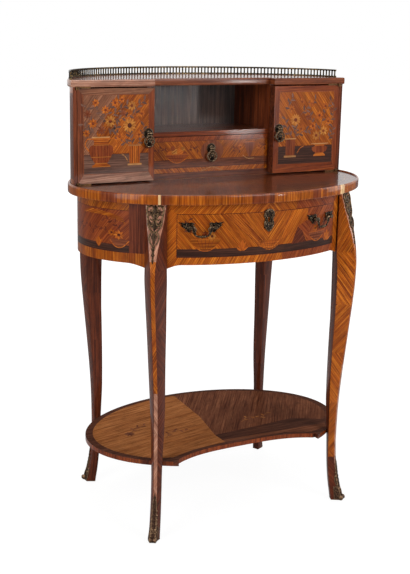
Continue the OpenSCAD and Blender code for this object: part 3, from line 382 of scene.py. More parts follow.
def around(a, b, degrees):
    # a point of the oval with half sizes a and b
    return a * math.cos(math.radians(degrees)), b * math.sin(math.radians(degrees))


def ringFaces(rows, n):
    # faces between rows of n corners, each row closed on itself
    return [(i * n + j, i * n + (j + 1) % n, (i + 1) * n + (j + 1) % n, (i + 1) * n + j)
            for i in range(rows - 1) for j in range(n)]


def addTube(solid, path, radii, sides=8, place=None, caps=True):
    # a rod along a path, its radius changing on the way; place puts local points on the desk
    path = np.array(path, float)
    n = len(path)
    radii = np.interp(np.linspace(0, 1, n), np.linspace(0, 1, len(radii)), radii)
    tangent = np.gradient(path, axis=0)
    tangent /= np.linalg.norm(tangent, axis=1)[:, None]
    side = np.cross(tangent[0], (0, 0, 1) if abs(tangent[0][2]) < 0.9 else (1, 0, 0))
    side /= np.linalg.norm(side)
    corners = []
    for k in range(n):
        side = side - tangent[k] * side.dot(tangent[k])
        side /= np.linalg.norm(side)
        other = np.cross(tangent[k], side)
        for j in range(sides):
            a = 2 * math.pi * j / sides
            corners.append(path[k] + radii[k] * (math.cos(a) * side + math.sin(a) * other))
    faces = ringFaces(n, sides)
    if caps:
        corners += [path[0] - tangent[0] * radii[0] * 0.6, path[-1] + tangent[-1] * radii[-1] * 0.6]
        first, last = n * sides, n * sides + 1
        faces += [((j + 1) % sides, j, first) for j in range(sides)]
        faces += [((n - 1) * sides + j, (n - 1) * sides + (j + 1) % sides, last) for j in range(sides)]
    solid.add([place(*c) for c in corners] if place else corners, faces)


def addBall(solid, centre, radius, place=None, rings=6, sides=8, squash=(1, 1, 1)):
    c = np.array(centre, float)
    corners = [c + np.array((0, 0, radius * squash[2]))]
    for k in range(1, rings):
        a = math.pi * k / rings
        for j in range(sides):
            b = 2 * math.pi * j / sides
            corners.append(c + radius * np.array((math.sin(a) * math.cos(b) * squash[0],
                                                  math.sin(a) * math.sin(b) * squash[1],
                                                  math.cos(a) * squash[2])))
    corners.append(c - np.array((0, 0, radius * squash[2])))
    last = len(corners) - 1
    faces = [(0, 1 + j, 1 + (j + 1) % sides) for j in range(sides)]
    for k in range(rings - 2):
        for j in range(sides):
            a, b = 1 + k * sides + j, 1 + k * sides + (j + 1) % sides
            faces.append((a, a + sides, b + sides, b))
    base = 1 + (rings - 2) * sides
    faces += [(base + (j + 1) % sides, base + j, last) for j in range(sides)]
    solid.add([place(*p) for p in corners] if place else corners, faces)


def addLeaf(solid, spine, width, height, place, lobes=4, rest=0.3, count=17, curl=0.0):
    # a cast leaf that lies on a surface: u and v along the surface, w out of it
    line = curveThrough(spine, count)
    across = np.gradient(line, axis=0)
    across /= np.linalg.norm(across, axis=1)[:, None]
    normal = np.stack([-across[:, 1], across[:, 0]], 1)
    corners = []
    shares = (-1, -0.62, -0.3, 0, 0.3, 0.62, 1)
    lifts = (0.0, 0.72, 0.62, 1.0, 0.62, 0.72, 0.0)
    for k in range(count):
        t = k / (count - 1)
        body = math.sin(math.pi * min(1, 0.12 + 0.88 * t) ** 0.8) ** 0.7 if t < 1 else 0.02
        edge = width * max(body, 0.04) * (1 + 0.26 * math.cos(2 * math.pi * lobes * t))
        for s, h in zip(shares, lifts):
            wave = 1 + 0.25 * math.cos(2 * math.pi * lobes * t) * abs(s)
            p = line[k] + normal[k] * s * edge
            corners.append((p[0], p[1], rest + height * max(body, 0.25) * h * wave + curl * t * t))
    m = len(shares)
    faces = [(k * m + j, k * m + j + 1, (k + 1) * m + j + 1, (k + 1) * m + j) for k in range(count - 1)
             for j in range(m - 1)]
    top = len(corners)
    corners += [(corners[k * m][0], corners[k * m][1], 0.0) for k in range(count)]
    corners += [(corners[k * m + m - 1][0], corners[k * m + m - 1][1], 0.0) for k in range(count)]
    for k in range(count - 1):
        faces.append((top + k, k * m, (k + 1) * m, top + k + 1))
        faces.append((k * m + m - 1, top + count + k, top + count + k + 1, (k + 1) * m + m - 1))
    faces = [tuple(reversed(f)) for f in faces]
    solid.add([place(*c) for c in corners], faces)


def addScroll(solid, points, radii, place, w=1.6, count=22, sides=8):
    line = curveThrough(points, count)
    addTube(solid, [(p[0], p[1], w) for p in line], radii, sides, place)
    end = line[-1]
    addBall(solid, (end[0], end[1], w), radii[-1] * 1.5, place, 5, 8)


# the desk's own surfaces
tableTop = {"halfW": 341, "halfD": 237, "edgeZ": 741, "surfaceZ": 738, "underZ": 721, "lipW": 5}
apron = {"halfW": 321, "halfD": 217, "lowZ": 596, "bracketDrop": 8, "bracketW": 26}
cabinet = {"halfW": 335, "halfD": 231, "boardHalfW": 340, "boardHalfD": 236, "topZ": 955,
           "frontY": 13.6, "bayY": 33.6, "bayHalfW": 148}


def ovalY(a, b, x):
    return b * math.sqrt(max(0.0, 1 - (x / a) ** 2))


def outOf(a, b, x, y, lift):
    n = Vector((x / a ** 2, y / b ** 2)).normalized()
    return x + n.x * lift, y + n.y * lift


def frontFace(a, b):   # u runs to the right as the front is seen
    def place(u, v, lift):
        x, y = outOf(a, b, u, -ovalY(a, b, u), lift)
        return (x, y, v)
    return place


def sideFace(a, b, side):   # u runs to the right as that side is seen: -1 left, 1 right
    def place(u, v, lift):
        x, y = outOf(a, b, side * ovalY(b, a, u), side * u, lift)
        return (x, y, v)
    return place


def backFace(a, b):
    def place(u, v, lift):
        x, y = outOf(a, b, -u, ovalY(a, b, u), lift)
        return (x, y, v)
    return place


def flatFront(y):
    return lambda u, v, lift: (u, y - lift, v)


def flatTop(z):
    return lambda u, v, lift: (u, v, z + lift)


# outlines of veneer pieces
def rect(x0, y0, x1, y1):
    return [(x0, y0), (x1, y0), (x1, y1), (x0, y1)]


def oval(cx, cy, rx, ry, n=20, start=0):
    points = [around(rx, ry, start + 360 * k / n) for k in range(n)]
    return [(cx + x, cy + y) for x, y in points]


def smooth(points, n=26):
    return [tuple(p) for p in curveThrough(points, n, closed=True)]


def leaf(cx, cy, length, width, turn, bend=0.0):
    out = []
    for k, half in [(k, -width / 2) for k in range(9)] + [(k, width / 2) for k in range(7, 0, -1)]:
        t = k / 8
        out.append((length * (t - 0.5), half * math.sin(math.pi * t) ** 0.8 + bend * math.sin(math.pi * t)))
    c, s = math.cos(math.radians(turn)), math.sin(math.radians(turn))
    return [(cx + x * c - y * s, cy + x * s + y * c) for x, y in out]


dice = random.Random(7)
sideName = {-1: "left", 1: "right"}


class Panel:
    # a veneered face: woods laid on it piece by piece, each at its own height and grain
    def __init__(self, place, step=0.0, base=0.1, rise=0.05):
        self.solid, self.names = Solid(), []
        self.place, self.step, self.base, self.rise = place, step, base, rise

    def lay(self, outline, name, grain=0.0, tone=0.0, level=1):
        if name not in self.names:
            self.names.append(name)
        bm = bmesh.new()
        clean = [p for k, p in enumerate(outline) if math.dist(p, outline[k - 1]) > 0.02]
        bm.faces.new([bm.verts.new((x, y, 0)) for x, y in clean])
        bm.normal_update()
        bmesh.ops.triangulate(bm, faces=bm.faces[:])
        if self.step:
            xs = [v.co.x for v in bm.verts]
            k = math.floor(min(xs) / self.step) + 1
            while k * self.step < max(xs):
                bmesh.ops.bisect_plane(bm, geom=bm.verts[:] + bm.edges[:] + bm.faces[:],
                                       plane_co=(k * self.step, 0, 0), plane_no=(1, 0, 0))
                k += 1
        bm.normal_update()
        bm.verts.index_update()
        c, s = math.cos(math.radians(grain)), math.sin(math.radians(grain))
        lift = self.base + self.rise * level
        away = dice.uniform(0, 4000)
        corners = [self.place(v.co.x, v.co.y, lift) for v in bm.verts]
        uvs = [(v.co.x * c + v.co.y * s + away, -v.co.x * s + v.co.y * c + away * 0.37) for v in bm.verts]
        faces = [[v.index for v in (f.verts if f.normal.z > 0 else reversed(f.verts))] for f in bm.faces]
        bm.free()
        self.solid.add(corners, faces, uvs, tone, self.names.index(name))

    def line(self, points, width, name, tone=0.0, level=2, n=0, grain=0.0):
        # a string of wood along a path, laid in short lengths
        line = curveThrough(points, n) if n else np.array(points, float)
        t = np.gradient(line, axis=0)
        t /= np.linalg.norm(t, axis=1)[:, None]
        side = np.stack([-t[:, 1], t[:, 0]], 1) * width / 2
        for k in range(len(line) - 1):
            quad = [line[k] - side[k], line[k + 1] - side[k + 1], line[k + 1] + side[k + 1],
                    line[k] + side[k]]
            self.lay([tuple(p) for p in quad], name, grain, tone, level)

    def finish(self, name, body, replacing=()):
        return makePiece(name, self.solid, body, self.names, replacing=replacing)


def addBloom(panel, cx, cy, r, petals, name, heart="amaranth", tone=0.0, level=3):
    for k in range(petals):
        a = 360 * k / petals
        x, y = around(0.6 * r, 0.6 * r, a)
        panel.lay(leaf(cx + x, cy + y, r * 0.95, r * 2.4 / petals + r * 0.18, a), name, a,
                  tone + 0.06 * (k % 3 - 1), level + 0.03 * (k % 4))
    panel.lay(oval(cx, cy, r * 0.34, r * 0.34, 12), heart, 0, 0, level + 1)


def addSprig(panel, points, name, size=9, count=5, level=2, tone=0.0):
    line = curveThrough(points, 24)
    panel.line(line, 1.1, name, tone, level)
    for k in range(count):
        i = int(3 + k * 19 / max(1, count - 1))
        d = line[min(i + 1, 23)] - line[i - 1]
        turn = math.degrees(math.atan2(d[1], d[0])) + (48 if k % 2 else -48)
        x = line[i][0] + 0.5 * size * math.cos(math.radians(turn))
        y = line[i][1] + 0.5 * size * math.sin(math.radians(turn))
        panel.lay(leaf(x, y, size, size * 0.42, turn, 0.6), name, turn, tone + 0.08 * (k % 3 - 1),
                  level + 0.5 + 0.05 * (k % 2))


# bowed front of the main drawer
def apronFoot(end):
    # the lower edge, from the left bracket to the right one
    w, drop, low = apron["bracketW"], apron["bracketDrop"], apron["lowZ"]
    half = [(end - w * (1 - k / 6), low - drop * (1 - math.cos(math.radians(15 * k)))) for k in range(7)]
    return [(-x, z) for x, z in half[::-1]] + half


def addFootedBowl(panel, cx, low, high, half, name="red_fruitwood", light="orange_fruitwood", tone=0.0):
    mid = (low + high) / 2
    panel.lay(smooth([(cx - half, high), (cx - half * 0.86, mid + 1), (cx - half * 0.4, low + 3),
                      (cx, low + 1.5), (cx + half * 0.4, low + 3), (cx + half * 0.86, mid + 1),
                      (cx + half, high)], 30), name, 0, tone, 2)
    panel.line([(cx - half * 0.9, mid), (cx - half * 0.4, low + 1), (cx, low - 1), (cx + half * 0.4, low + 1),
                (cx + half * 0.9, mid)], 1.7, light, -0.05, 3, 12)
    panel.line([(cx - half - 2, high + 1), (cx + half + 2, high + 1)], 1.2, light, -0.1, 3)
    for k in (-2, -1, 0, 1, 2):
        panel.line([(cx + k * half * 0.3, high), (cx + k * half * 0.16, low + 3)], 0.7, "kingwood", 0, 4)


drawerFace = {"end": 207.2, "top": 719.7, "fieldX": 190, "fieldLow": 612, "fieldHigh": 700}


def makeDrawerFront():
    p = Panel(frontFace(apron["halfW"], apron["halfD"]), 6)
    end, top, fx, z0, z1 = drawerFace.values()
    p.lay(apronFoot(end) + [(fx, z0), (-fx, z0)], "tulipwood", 62, 0.06, 0)
    p.lay(rect(36, 597, 188, 611.4), "red_fruitwood", 62, 0.10, 1)
    p.lay([(-fx, z1), (0, z1), (0, top), (-end, top)], "tulipwood", 48, 0.04, 0)
    p.lay([(0, z1), (70, z1), (76, top), (0, top)], "tulipwood", 132, -0.10, 0)
    p.lay([(70, z1), (fx, z1), (end, top), (76, top)], "red_fruitwood", 132, 0.08, 0)
    bottom = apron["lowZ"] - apron["bracketDrop"]
    for s, tone in ((-1, 0.04), (1, -0.08)):
        p.lay([(fx * s, z0), (end * s, bottom), (end * s, top), (fx * s, z1)], "tulipwood",
              90 + 38 * s, tone, 0)
    p.lay(rect(-fx, z0, 0, z1), "tulipwood", 128, -0.12, 0)
    p.lay(rect(0, z0, 104, z1), "tulipwood", 52, -0.06, 0)
    p.lay(rect(104, z0, fx, z1), "red_fruitwood", 52, 0.12, 0)
    p.lay(rect(-fx, z0, fx, 629), "dyed_ground", 0, 0.05, 1)
    for z in (z0, z1):
        p.line([(-fx, z), (fx, z)], 1.1, "amaranth", -0.2, 4)
    for x in (-fx, fx):
        p.line([(x, z0), (x, z1)], 1.0, "amaranth", -0.1, 4)
    # a shallow V of ribbed ribbon under the lock plate
    p.lay([(-98, 699), (-68, 699), (-6, 637), (-22, 631)], "tulipwood", 134, 0.02, 2)
    for k in range(6):
        p.line([(-98 + 6 * k, 699), (-22 + 3.2 * k, 631 + 1.2 * k)], 0.8, "kingwood", 0.1, 3)
    p.lay([(58, 699), (90, 699), (54, 648), (30, 640)], "tulipwood", 56, 0.14, 2)
    p.line([(58, 699), (30, 640)], 0.9, "kingwood", 0, 3)
    p.lay([(60, 627), (76, 663), (88, 655), (102, 629)], "kingwood", 40, 0.12, 2)
    p.lay([(76, 663), (102, 674), (112, 650), (104, 629), (90, 652)], "red_fruitwood", 140, 0.14, 2.2)
    p.line([(-22, 631), (-8, 626), (12, 627), (30, 640)], 2.0, "orange_fruitwood", -0.02, 3, 16)
    addFootedBowl(p, -136, 626, 648, 27, "tulipwood", "orange_fruitwood", -0.26)
    addFootedBowl(p, 4, 622, 640, 25, "orange_fruitwood", "tulipwood", -0.18)
    addFootedBowl(p, 133, 627, 645, 22, "walnut", tone=0.1)
    for x in (-59, 168):   # an upright tuft of leaves
        for u, v, size, turn in ((0, 634, 25, 90), (-4.5, 632, 19, 114), (4.5, 632, 19, 66),
                                 (-7, 626, 13, 146), (7, 626, 13, 34)):
            p.lay(leaf(x + u, v, size, size * 0.32, turn, 0.6), "orange_fruitwood", turn,
                  0.0 if x < 0 else -0.1, 2 + 0.04 * abs(u))
    for x, z, r, name, tone in ((-150, 655, 8, "orange_fruitwood", -0.12),
                                (-136, 659, 7, "red_fruitwood", 0.1),
                                (-123, 655, 8, "satinwood", -0.3), (128, 653, 7, "orange_fruitwood", -0.2),
                                (142, 653, 7, "red_fruitwood", 0.15)):
        addBloom(p, x, z, r, 8, name, "kingwood", tone)
    for path in ([(-160, 660), (-172, 672), (-168, 690)], [(146, 660), (160, 672), (176, 668)]):
        addSprig(p, path, "walnut", tone=-0.1)
    p.finish("drawer_front_marquetry", "main_drawer")


sideApron = {"end": 141, "fieldX": 118, "fieldLow": 617, "ground": 632, "fieldHigh": 703, "top": 721}


def makeSideApron(side):
    p = Panel(sideFace(apron["halfW"], apron["halfD"], side), 5)
    f = -side   # the marquetry faces the front corner on both sides
    end, fx, z0, ground, z1, top = sideApron.values()

    def lay(outline, name, grain, tone=0.0, level=1):
        p.lay([(f * x, y) for x, y in outline], name, grain if f > 0 else 180 - grain, tone, level)

    p.lay(apronFoot(end) + [(end, z0), (-end, z0)], "tulipwood", 90, -0.10, 0)
    p.lay(rect(-end, z0, end, top), "kingwood", 90, 0.14, 0)
    lay(rect(-fx, ground, fx, z1), "red_fruitwood", 52, 0.10, 1)
    lay(rect(-fx, z0, fx, ground), "dyed_ground", 0, 0.1, 1)
    lay(rect(-fx, z1, fx, top - 2), "tulipwood", 60, -0.2, 1)
    for u, v, size, turn in ((0, 634, 23, 90), (-4, 632, 17, 114), (4, 632, 17, 66)):
        lay(leaf(58 + u, v, size, size * 0.32, turn, 0.6), "orange_fruitwood", turn, -0.1, 2 + 0.04 * abs(u))
    lay(smooth([(4, 690), (30, 699), (70, 698), (104, 690), (112, 676), (104, 680), (70, 690), (30, 690)],
               30), "tulipwood", 20, -0.12, 2)
    for u0, u1 in ((84, 118), (-60, -26)):
        m = (u0 + u1) / 2
        lay(smooth([(u0, 643), (u0 + 4, 634), (m, 628), (u1 - 4, 634), (u1, 643)]), "walnut", 0, 0.05, 2)
        p.line([(f * u0, 641), (f * (u0 + 8), 630), (f * m, 626), (f * (u1 - 8), 630), (f * u1, 641)], 1.5,
               "orange_fruitwood", 0, 3, 12)
        addBloom(p, f * m, 652, 9, 8, "orange_fruitwood", "kingwood", -0.15)
        addBloom(p, f * (m - 14), 656, 7, 7, "tulipwood", "kingwood", -0.05)
    for path in ([(84, 652), (62, 664), (40, 656), (22, 668)], [(-28, 652), (-6, 664), (8, 656)],
                 [(104, 660), (92, 678), (70, 684)]):
        addSprig(p, [(f * u, z) for u, z in path], "kingwood", 10, 6, tone=0.1)
    for z in (z0, z1):
        p.line([(-fx, z), (fx, z)], 1.0, "amaranth", -0.1, 4)
    p.finish("apron_" + sideName[side] + "_marquetry", "desk")


backApron = {"end": 208, "low": 612, "high": 704, "top": 721}


def makeBackApron():
    p = Panel(backFace(apron["halfW"], apron["halfD"]), 6)
    end, low, high, top = backApron.values()
    p.lay(apronFoot(end) + [(end, low), (-end, low)], "tulipwood", 90, -0.1, 0)
    p.lay(rect(-end, low, 0, top), "kingwood", 128, 0, 0)
    p.lay(rect(0, low, end, top), "kingwood", 52, 0, 0)
    p.lay(rect(4 - end, high, end - 4, top - 1), "tulipwood", 90, -0.1, 1)
    for z in (low, high):
        p.line([(1 - end, z), (end - 1, z)], 1.2, "boxwood", -0.1, 2)
    p.finish("apron_back_veneer", "desk")


makeDrawerFront()
makeSideApron(-1)
makeSideApron(1)
makeBackApron()
print("aprons and drawer front are veneered")


# cabinet doors, small drawer and niche
doorPlan = {"inner": 150.2, "outer": 325.2, "low": 741.6, "high": 937.4, "border": 13}


doorBlooms = {   # x, z, radius, petals, wood, tone
    -1: ((272, 852, 10, 8, "walnut", 0.1), (252, 870, 12, 9, "satinwood", -0.28),
         (291, 866, 10, 8, "orange_fruitwood", -0.1), (263, 893, 9, 8, "orange_fruitwood", 0.0),
         (303, 886, 9, 7, "walnut", 0.15), (285, 908, 8, 7, "orange_fruitwood", -0.15),
         (241, 908, 9, 8, "orange_fruitwood", 0.05), (203, 901, 10, 8, "satinwood", -0.26),
         (226, 914, 7, 7, "orange_fruitwood", 0.0), (180, 884, 8, 7, "orange_fruitwood", -0.1),
         (186, 840, 8, 7, "orange_fruitwood", 0.0), (231, 838, 10, 8, "orange_fruitwood", 0.0),
         (222, 886, 7, 7, "walnut", 0.2), (306, 846, 8, 7, "orange_fruitwood", -0.2),
         (208, 860, 15, 13, "satinwood", -0.16)),
    1: ((197, 886, 8, 7, "orange_fruitwood", -0.15), (224, 840, 8, 8, "orange_fruitwood", -0.2),
        (266, 824, 11, 8, "satinwood", -0.28), (286, 834, 11, 8, "satinwood", -0.26),
        (256, 846, 9, 8, "orange_fruitwood", -0.05), (298, 856, 9, 8, "orange_fruitwood", -0.1),
        (273, 870, 10, 8, "orange_fruitwood", 0.04), (243, 866, 8, 7, "walnut", 0.15),
        (289, 891, 9, 8, "orange_fruitwood", -0.2), (250, 897, 9, 8, "orange_fruitwood", -0.15),
        (307, 882, 7, 7, "walnut", 0.1), (224, 902, 8, 7, "orange_fruitwood", -0.2),
        (208, 861, 13, 13, "satinwood", -0.14)),
}
doorSprigs = {
    -1: ([(250, 880), (232, 892), (212, 904)], [(244, 874), (222, 876), (198, 884)],
         [(280, 858), (298, 874), (308, 904)], [(268, 862), (270, 884), (290, 900)],
         [(258, 856), (244, 850), (234, 862)], [(200, 818), (206, 834), (208, 846)],
         [(192, 818), (178, 836), (174, 862)], [(206, 820), (228, 830), (244, 852)],
         [(286, 846), (300, 852), (314, 866)], [(262, 880), (250, 900), (232, 916)],
         [(196, 880), (188, 900), (172, 912)]),
    1: ([(276, 812), (278, 846), (290, 880), (306, 906)], [(208, 820), (212, 836), (208, 846)],
        [(222, 872), (240, 890), (262, 908)], [(268, 836), (254, 856), (246, 880)],
        [(290, 846), (308, 862), (314, 894)], [(214, 824), (234, 836), (250, 836)],
        [(196, 876), (188, 896), (200, 912)], [(200, 820), (186, 840), (180, 866)],
        [(300, 812), (308, 826), (312, 842)]),
}


def addVessel(lay, cx, low, belly, neckLow, neckHigh, w, body, collar):
    # a footed vase of half width w: foot, rounded belly, broad collar and rim
    lay([(cx - w * 0.76, low), (cx + w * 0.76, low), (cx + w * 0.7, low + 4), (cx + w * 0.5, low + 7),
         (cx + w * 0.46, low + 10), (cx - w * 0.46, low + 10), (cx - w * 0.5, low + 7),
         (cx - w * 0.7, low + 4)], collar, 0, -0.15, 2)
    side = [(0.5, low + 8), (0.78, (low + belly) / 2 + 1), (0.98, belly - 4), (1.0, belly + 1),
            (0.88, neckLow - 3), (0.62, neckLow)]
    lay([(cx - w * u, z) for u, z in side[::-1]] + [(cx + w * u, z) for u, z in side], body, 90,
        0.12 if body == "red_fruitwood" else -0.14, 2.4)
    neck = (neckLow + neckHigh) / 2
    lay([(cx - w * 0.6, neckLow), (cx + w * 0.6, neckLow), (cx + w * 0.56, neck), (cx + w * 0.66, neckHigh),
         (cx - w * 0.66, neckHigh), (cx - w * 0.56, neck)], collar, 0, -0.1, 2.8)
    lay(rect(cx - w * 0.72, neckHigh, cx + w * 0.72, neckHigh + 2.6), "boxwood", 0, -0.1, 3)


def addPot(lay, cx, low, high, half, body):
    # a straight-sided pot on a moulded base
    lay(rect(cx - half * 1.2, low, cx + half * 1.2, low + 4), "boxwood", 0, -0.1, 2)
    lay([(cx - half * 0.86, low + 4), (cx + half * 0.86, low + 4), (cx + half, high), (cx - half, high)],
        body, 90, 0.02, 2.4)
    lay(rect(cx - half * 1.1, high, cx + half * 1.1, high + 2.4), "boxwood", 0, -0.08, 3)
    for k in (-2, -1, 0, 1, 2):
        lay(rect(cx + k * half * 0.36 - 0.4, low + 5, cx + k * half * 0.36 + 0.4, high - 1), "kingwood", 90,
            0.1, 2.8)


def makeDoor(side):
    p = Panel(flatFront(cabinet["frontY"]), 0, 0.06)
    x0, x1, z0, z1, b = doorPlan.values()
    g = 52 if side < 0 else 128
    left = side < 0

    def lay(outline, name, grain=0.0, tone=0.0, level=1):
        p.lay([(side * x, z) for x, z in outline], name, grain, tone, level)

    def line(points, width, name, tone=0.0, level=3, n=0):
        p.line([(side * x, z) for x, z in points], width, name, tone, level, n)

    fx0, fx1, fz0, fz1 = x0 + b, x1 - b, z0 + b + 6, z1 - b
    # the left door's lower and upper borders are lighter woods and tones than the right door's plain red
    # fruitwood: painted sheen and haze
    low, high, outer = ("pale_border", "faded_tulipwood", "walnut") if left else ("red_fruitwood",) * 3
    lay([(x0, z0), (x1, z0), (fx1, fz0), (fx0, fz0)], low, 4, -0.22 if left else 0.06, 0)
    lay([(x0, z1), (x1, z1), (fx1, fz1), (fx0, fz1)], high, 3, -0.2 if left else 0.06, 0)
    lay([(x0, z0), (fx0, fz0), (fx0, fz1), (x0, z1)], "red_fruitwood", 88, 0.0, 0)
    lay([(x1, z0), (fx1, fz0), (fx1, fz1), (x1, z1)], outer, 92, 0.0, 0)
    lay(rect(fx0, fz0, fx1, fz1), "tulipwood", g, -0.12, 0)
    # a lighter patch on the outer part of the left door's field: painted haze
    if left:
        lay([(258, fz0), (fx1, fz0), (fx1, fz1), (236, fz1), (262, 880), (284, 846), (270, 810)],
            "faded_tulipwood", g, -0.06, 0.5)
    # the left door's lower ground is in grey leaf wood, lighter than the right door's dark dyed ground:
    # painted haze
    lay(rect(fx0, fz0, fx1, 801), "grey_leaf" if left else "dyed_ground", 0, -0.12 if left else 0.15, 1)
    for a, c in (((fx0, fz0), (fx1, fz0)), ((fx0, fz1), (fx1, fz1)), ((fx0, fz0), (fx0, fz1)),
                 ((fx1, fz0), (fx1, fz1))):
        line((a, c), 1.0, "walnut", 0.25, 4)
    line([(fx0, 801), (fx1, 801)], 1.1, "amaranth", -0.1, 2)
    for k, path in enumerate(doorSprigs[side]):
        addSprig(p, [(side * x, z) for x, z in path], "grey_leaf", 12, 6, 1.5 + 0.12 * k, -0.04)
    if left:
        lay(smooth([(190, 806), (250, 806), (238, 840), (232, 872), (206, 884), (184, 870), (184, 836)], 30),
            "orange_fruitwood", 52, -0.16, 1)
        addVessel(lay, 273, 775, 811, 822, 836, 28, "red_fruitwood", "orange_fruitwood")
        for s in (-1, 1):
            line([(273 + s * 17, 833), (273 + s * 30, 834), (273 + s * 36, 822), (273 + s * 27, 809)], 2.2,
                 "orange_fruitwood", 0.1, 3, 12)
        for k in (-2, -1, 1, 2):
            line([(273 + 8 * k, 816), (273 + 5 * k, 790)], 0.7, "kingwood", 0.05, 3)
        for z, half in ((776, 21), (783, 13), (821, 17), (796, 22)):
            line([(273 - half, z), (273 + half, z)], 1.1, "satinwood", -0.15, 3.4)
    else:
        addVessel(lay, 277, 776, 796, 800, 803, 22, "red_fruitwood", "orange_fruitwood")
        line([(253, 805), (301, 805)], 1.8, "boxwood", -0.15, 3.4)
        line([(215, 785), (223, 796), (233, 801)], 1.6, "orange_fruitwood", 0, 3, 8)
    addPot(lay, 196, 776, 817, 13.5, "orange_fruitwood" if left else "red_fruitwood")
    if left:
        line([(226, 801), (218, 795), (211, 784)], 1.8, "boxwood", -0.15, 3, 8)
    for k, (x, z, r, petals, name, tone) in enumerate(doorBlooms[side]):
        addBloom(p, side * x, z, r, petals, name, "kingwood" if r > 14 else "red_fruitwood", tone,
                 4.2 + 0.3 * k)
    p.finish("door_" + sideName[side] + "_marquetry", "door_" + sideName[side])


smallDrawer = {"half": 146.5, "low": 751.5, "high": 829.6, "fieldLow": 762, "fieldHigh": 820}


def makeSmallDrawer():
    p = Panel(flatFront(cabinet["bayY"]), 0, 0.06)
    half, z0, z1, f0, f1 = smallDrawer.values()
    p.lay(rect(-half, z0, 0, f0), "tulipwood", 130, -0.12, 0)
    p.lay(rect(0, z0, half, f0), "tulipwood", 50, -0.12, 0)
    p.lay(rect(-half, f1, half, z1), "red_fruitwood", 60, 0.1, 0)
    p.lay(rect(-half, f0, 0, f1), "tulipwood", 130, -0.18, 0)
    p.lay(rect(0, f0, half, f1), "tulipwood", 52, -0.24, 0)
    p.lay(rect(-half, f0, half, 780), "walnut", 0, -0.3, 1)
    p.lay(oval(3, 796, 29, 24, 32), "walnut", 90, 0.0, 2)
    p.line([(-25, 752), (3, 762), (31, 752)], 1.6, "boxwood", -0.15, 3)
    # fruit in the bowl, each at its own level
    for k, (x, z, r, name, tone) in enumerate((
            (-102, 793, 7, "orange_fruitwood", -0.15), (-90, 797, 8, "satinwood", -0.3),
            (-77, 796, 8, "orange_fruitwood", -0.05), (-65, 792, 6, "red_fruitwood", 0.1),
            (-95, 805, 6, "red_fruitwood", 0.15), (-82, 808, 6, "orange_fruitwood", -0.2),
            (-70, 804, 5, "satinwood", -0.35))):
        p.lay(oval(x, z, r, r * 0.9, 16), name, 30, tone, 1.2 + 0.1 * k)
    addFootedBowl(p, -84, 774, 791, 25)
    p.lay(smooth([(88, 812), (90, 798), (96, 784), (100, 777), (104, 784), (110, 798), (112, 812)], 22),
          "walnut", 90, 0.05, 2)
    p.line([(87, 813), (113, 813)], 1.4, "orange_fruitwood", 0, 3)
    p.line([(82, 784), (95, 776), (113, 776)], 1.6, "boxwood", -0.15, 3, 10)
    for x in (76, 124):
        addBloom(p, x, 802, 7, 7, "orange_fruitwood", "red_fruitwood", -0.15)
    for path in ([(-58, 798), (-46, 806), (-34, 800)], [(-108, 798), (-122, 806), (-136, 800)],
                 [(52, 790), (64, 802), (74, 796)], [(122, 796), (132, 808), (140, 800)]):
        addSprig(p, path, "kingwood", 8, 5, tone=0.1)
    for z in (f0, f1):
        p.line([(-half, z), (half, z)], 1.0, "amaranth", -0.1, 4)
    p.finish("small_drawer_marquetry", "small_drawer")


walls = {"low": 738.2, "high": 939.8, "foot": 752, "head": 928, "endY": 205, "backHalf": 154}


def makeCabinetVeneers():
    # shelf edge under the niche, the bent outer walls and the back
    p = Panel(flatFront(cabinet["bayY"]), 0, 0.06)
    half = cabinet["bayHalfW"]
    p.lay(rect(-half, 831, half, 841), "red_fruitwood", 0, -0.05, 0)
    p.finish("niche_shelf_edge", "desk")
    low, high, foot, head, endY, backHalf = walls.values()
    for side in (-1, 1):
        w = Panel(sideFace(cabinet["halfW"], cabinet["halfD"], side), 4)
        u0, u1 = sorted((side * (cabinet["frontY"] + 0.2), side * endY))
        w.lay(rect(u0, low, u1, high), "kingwood", 90, 0.0, 0)
        for z0, z1 in ((low, foot), (head, high)):
            w.lay(rect(u0, z0, u1, z1), "tulipwood", 90, -0.2, 1)
        w.finish("cabinet_" + sideName[side] + "_veneer", "desk")
    w = Panel(backFace(cabinet["halfW"], cabinet["halfD"]), 6)
    w.lay(rect(-backHalf, low, backHalf, high), "kingwood", 90, 0, 0)
    w.finish("cabinet_back_veneer", "desk")


makeDoor(-1)
makeDoor(1)
makeSmallDrawer()
makeCabinetVeneers()
print("cabinet is veneered")


# table top, its edge band, shelf and cabinet top
topBorder = {"width": 26, "pieces": 30, "seam": 30}


def makeTopVeneer():
    p = Panel(flatTop(tableTop["surfaceZ"]), 0, 0.05)
    a, b = tableTop["halfW"] - tableTop["lipW"] - 0.2, tableTop["halfD"] - tableTop["lipW"] - 0.2
    w, n, seam = topBorder.values()
    front = sorted([q for q in oval(0, 0, a, b, 120) if q[1] < seam],
                   key=lambda q: math.atan2(q[1] - seam, q[0]))
    endX = a * math.sqrt(1 - (seam / b) ** 2)
    p.lay([(-endX, seam)] + [q for q in front if q[0] <= 0.5] + [(0, seam)], "walnut", 62, -0.46, 0)
    p.lay([(0, seam)] + [q for q in front if q[0] >= -0.5] + [(endX, seam)], "walnut", 118, -0.52, 0)
    # border of short pieces round the front half
    for k in range(n):
        a0, a1 = 180 + 180 * k / n, 180 + 180 * (k + 1) / n
        angles = [a0 + (a1 - a0) * j / 4 for j in range(5)]
        outer = [around(a, b, t) for t in angles]
        inner = [around(a - w, b - w, t) for t in reversed(angles)]
        turn = math.degrees(math.atan2(outer[2][1] / b ** 2, outer[2][0] / a ** 2))
        p.lay(outer + inner, "kingwood", turn, dice.uniform(-0.06, 0.06), 1)
    p.line([around(a - w, b - w, t) for t in range(180, 361, 4)], 1.6, "boxwood", -0.15, 2)
    p.finish("writing_surface_veneer", "desk")


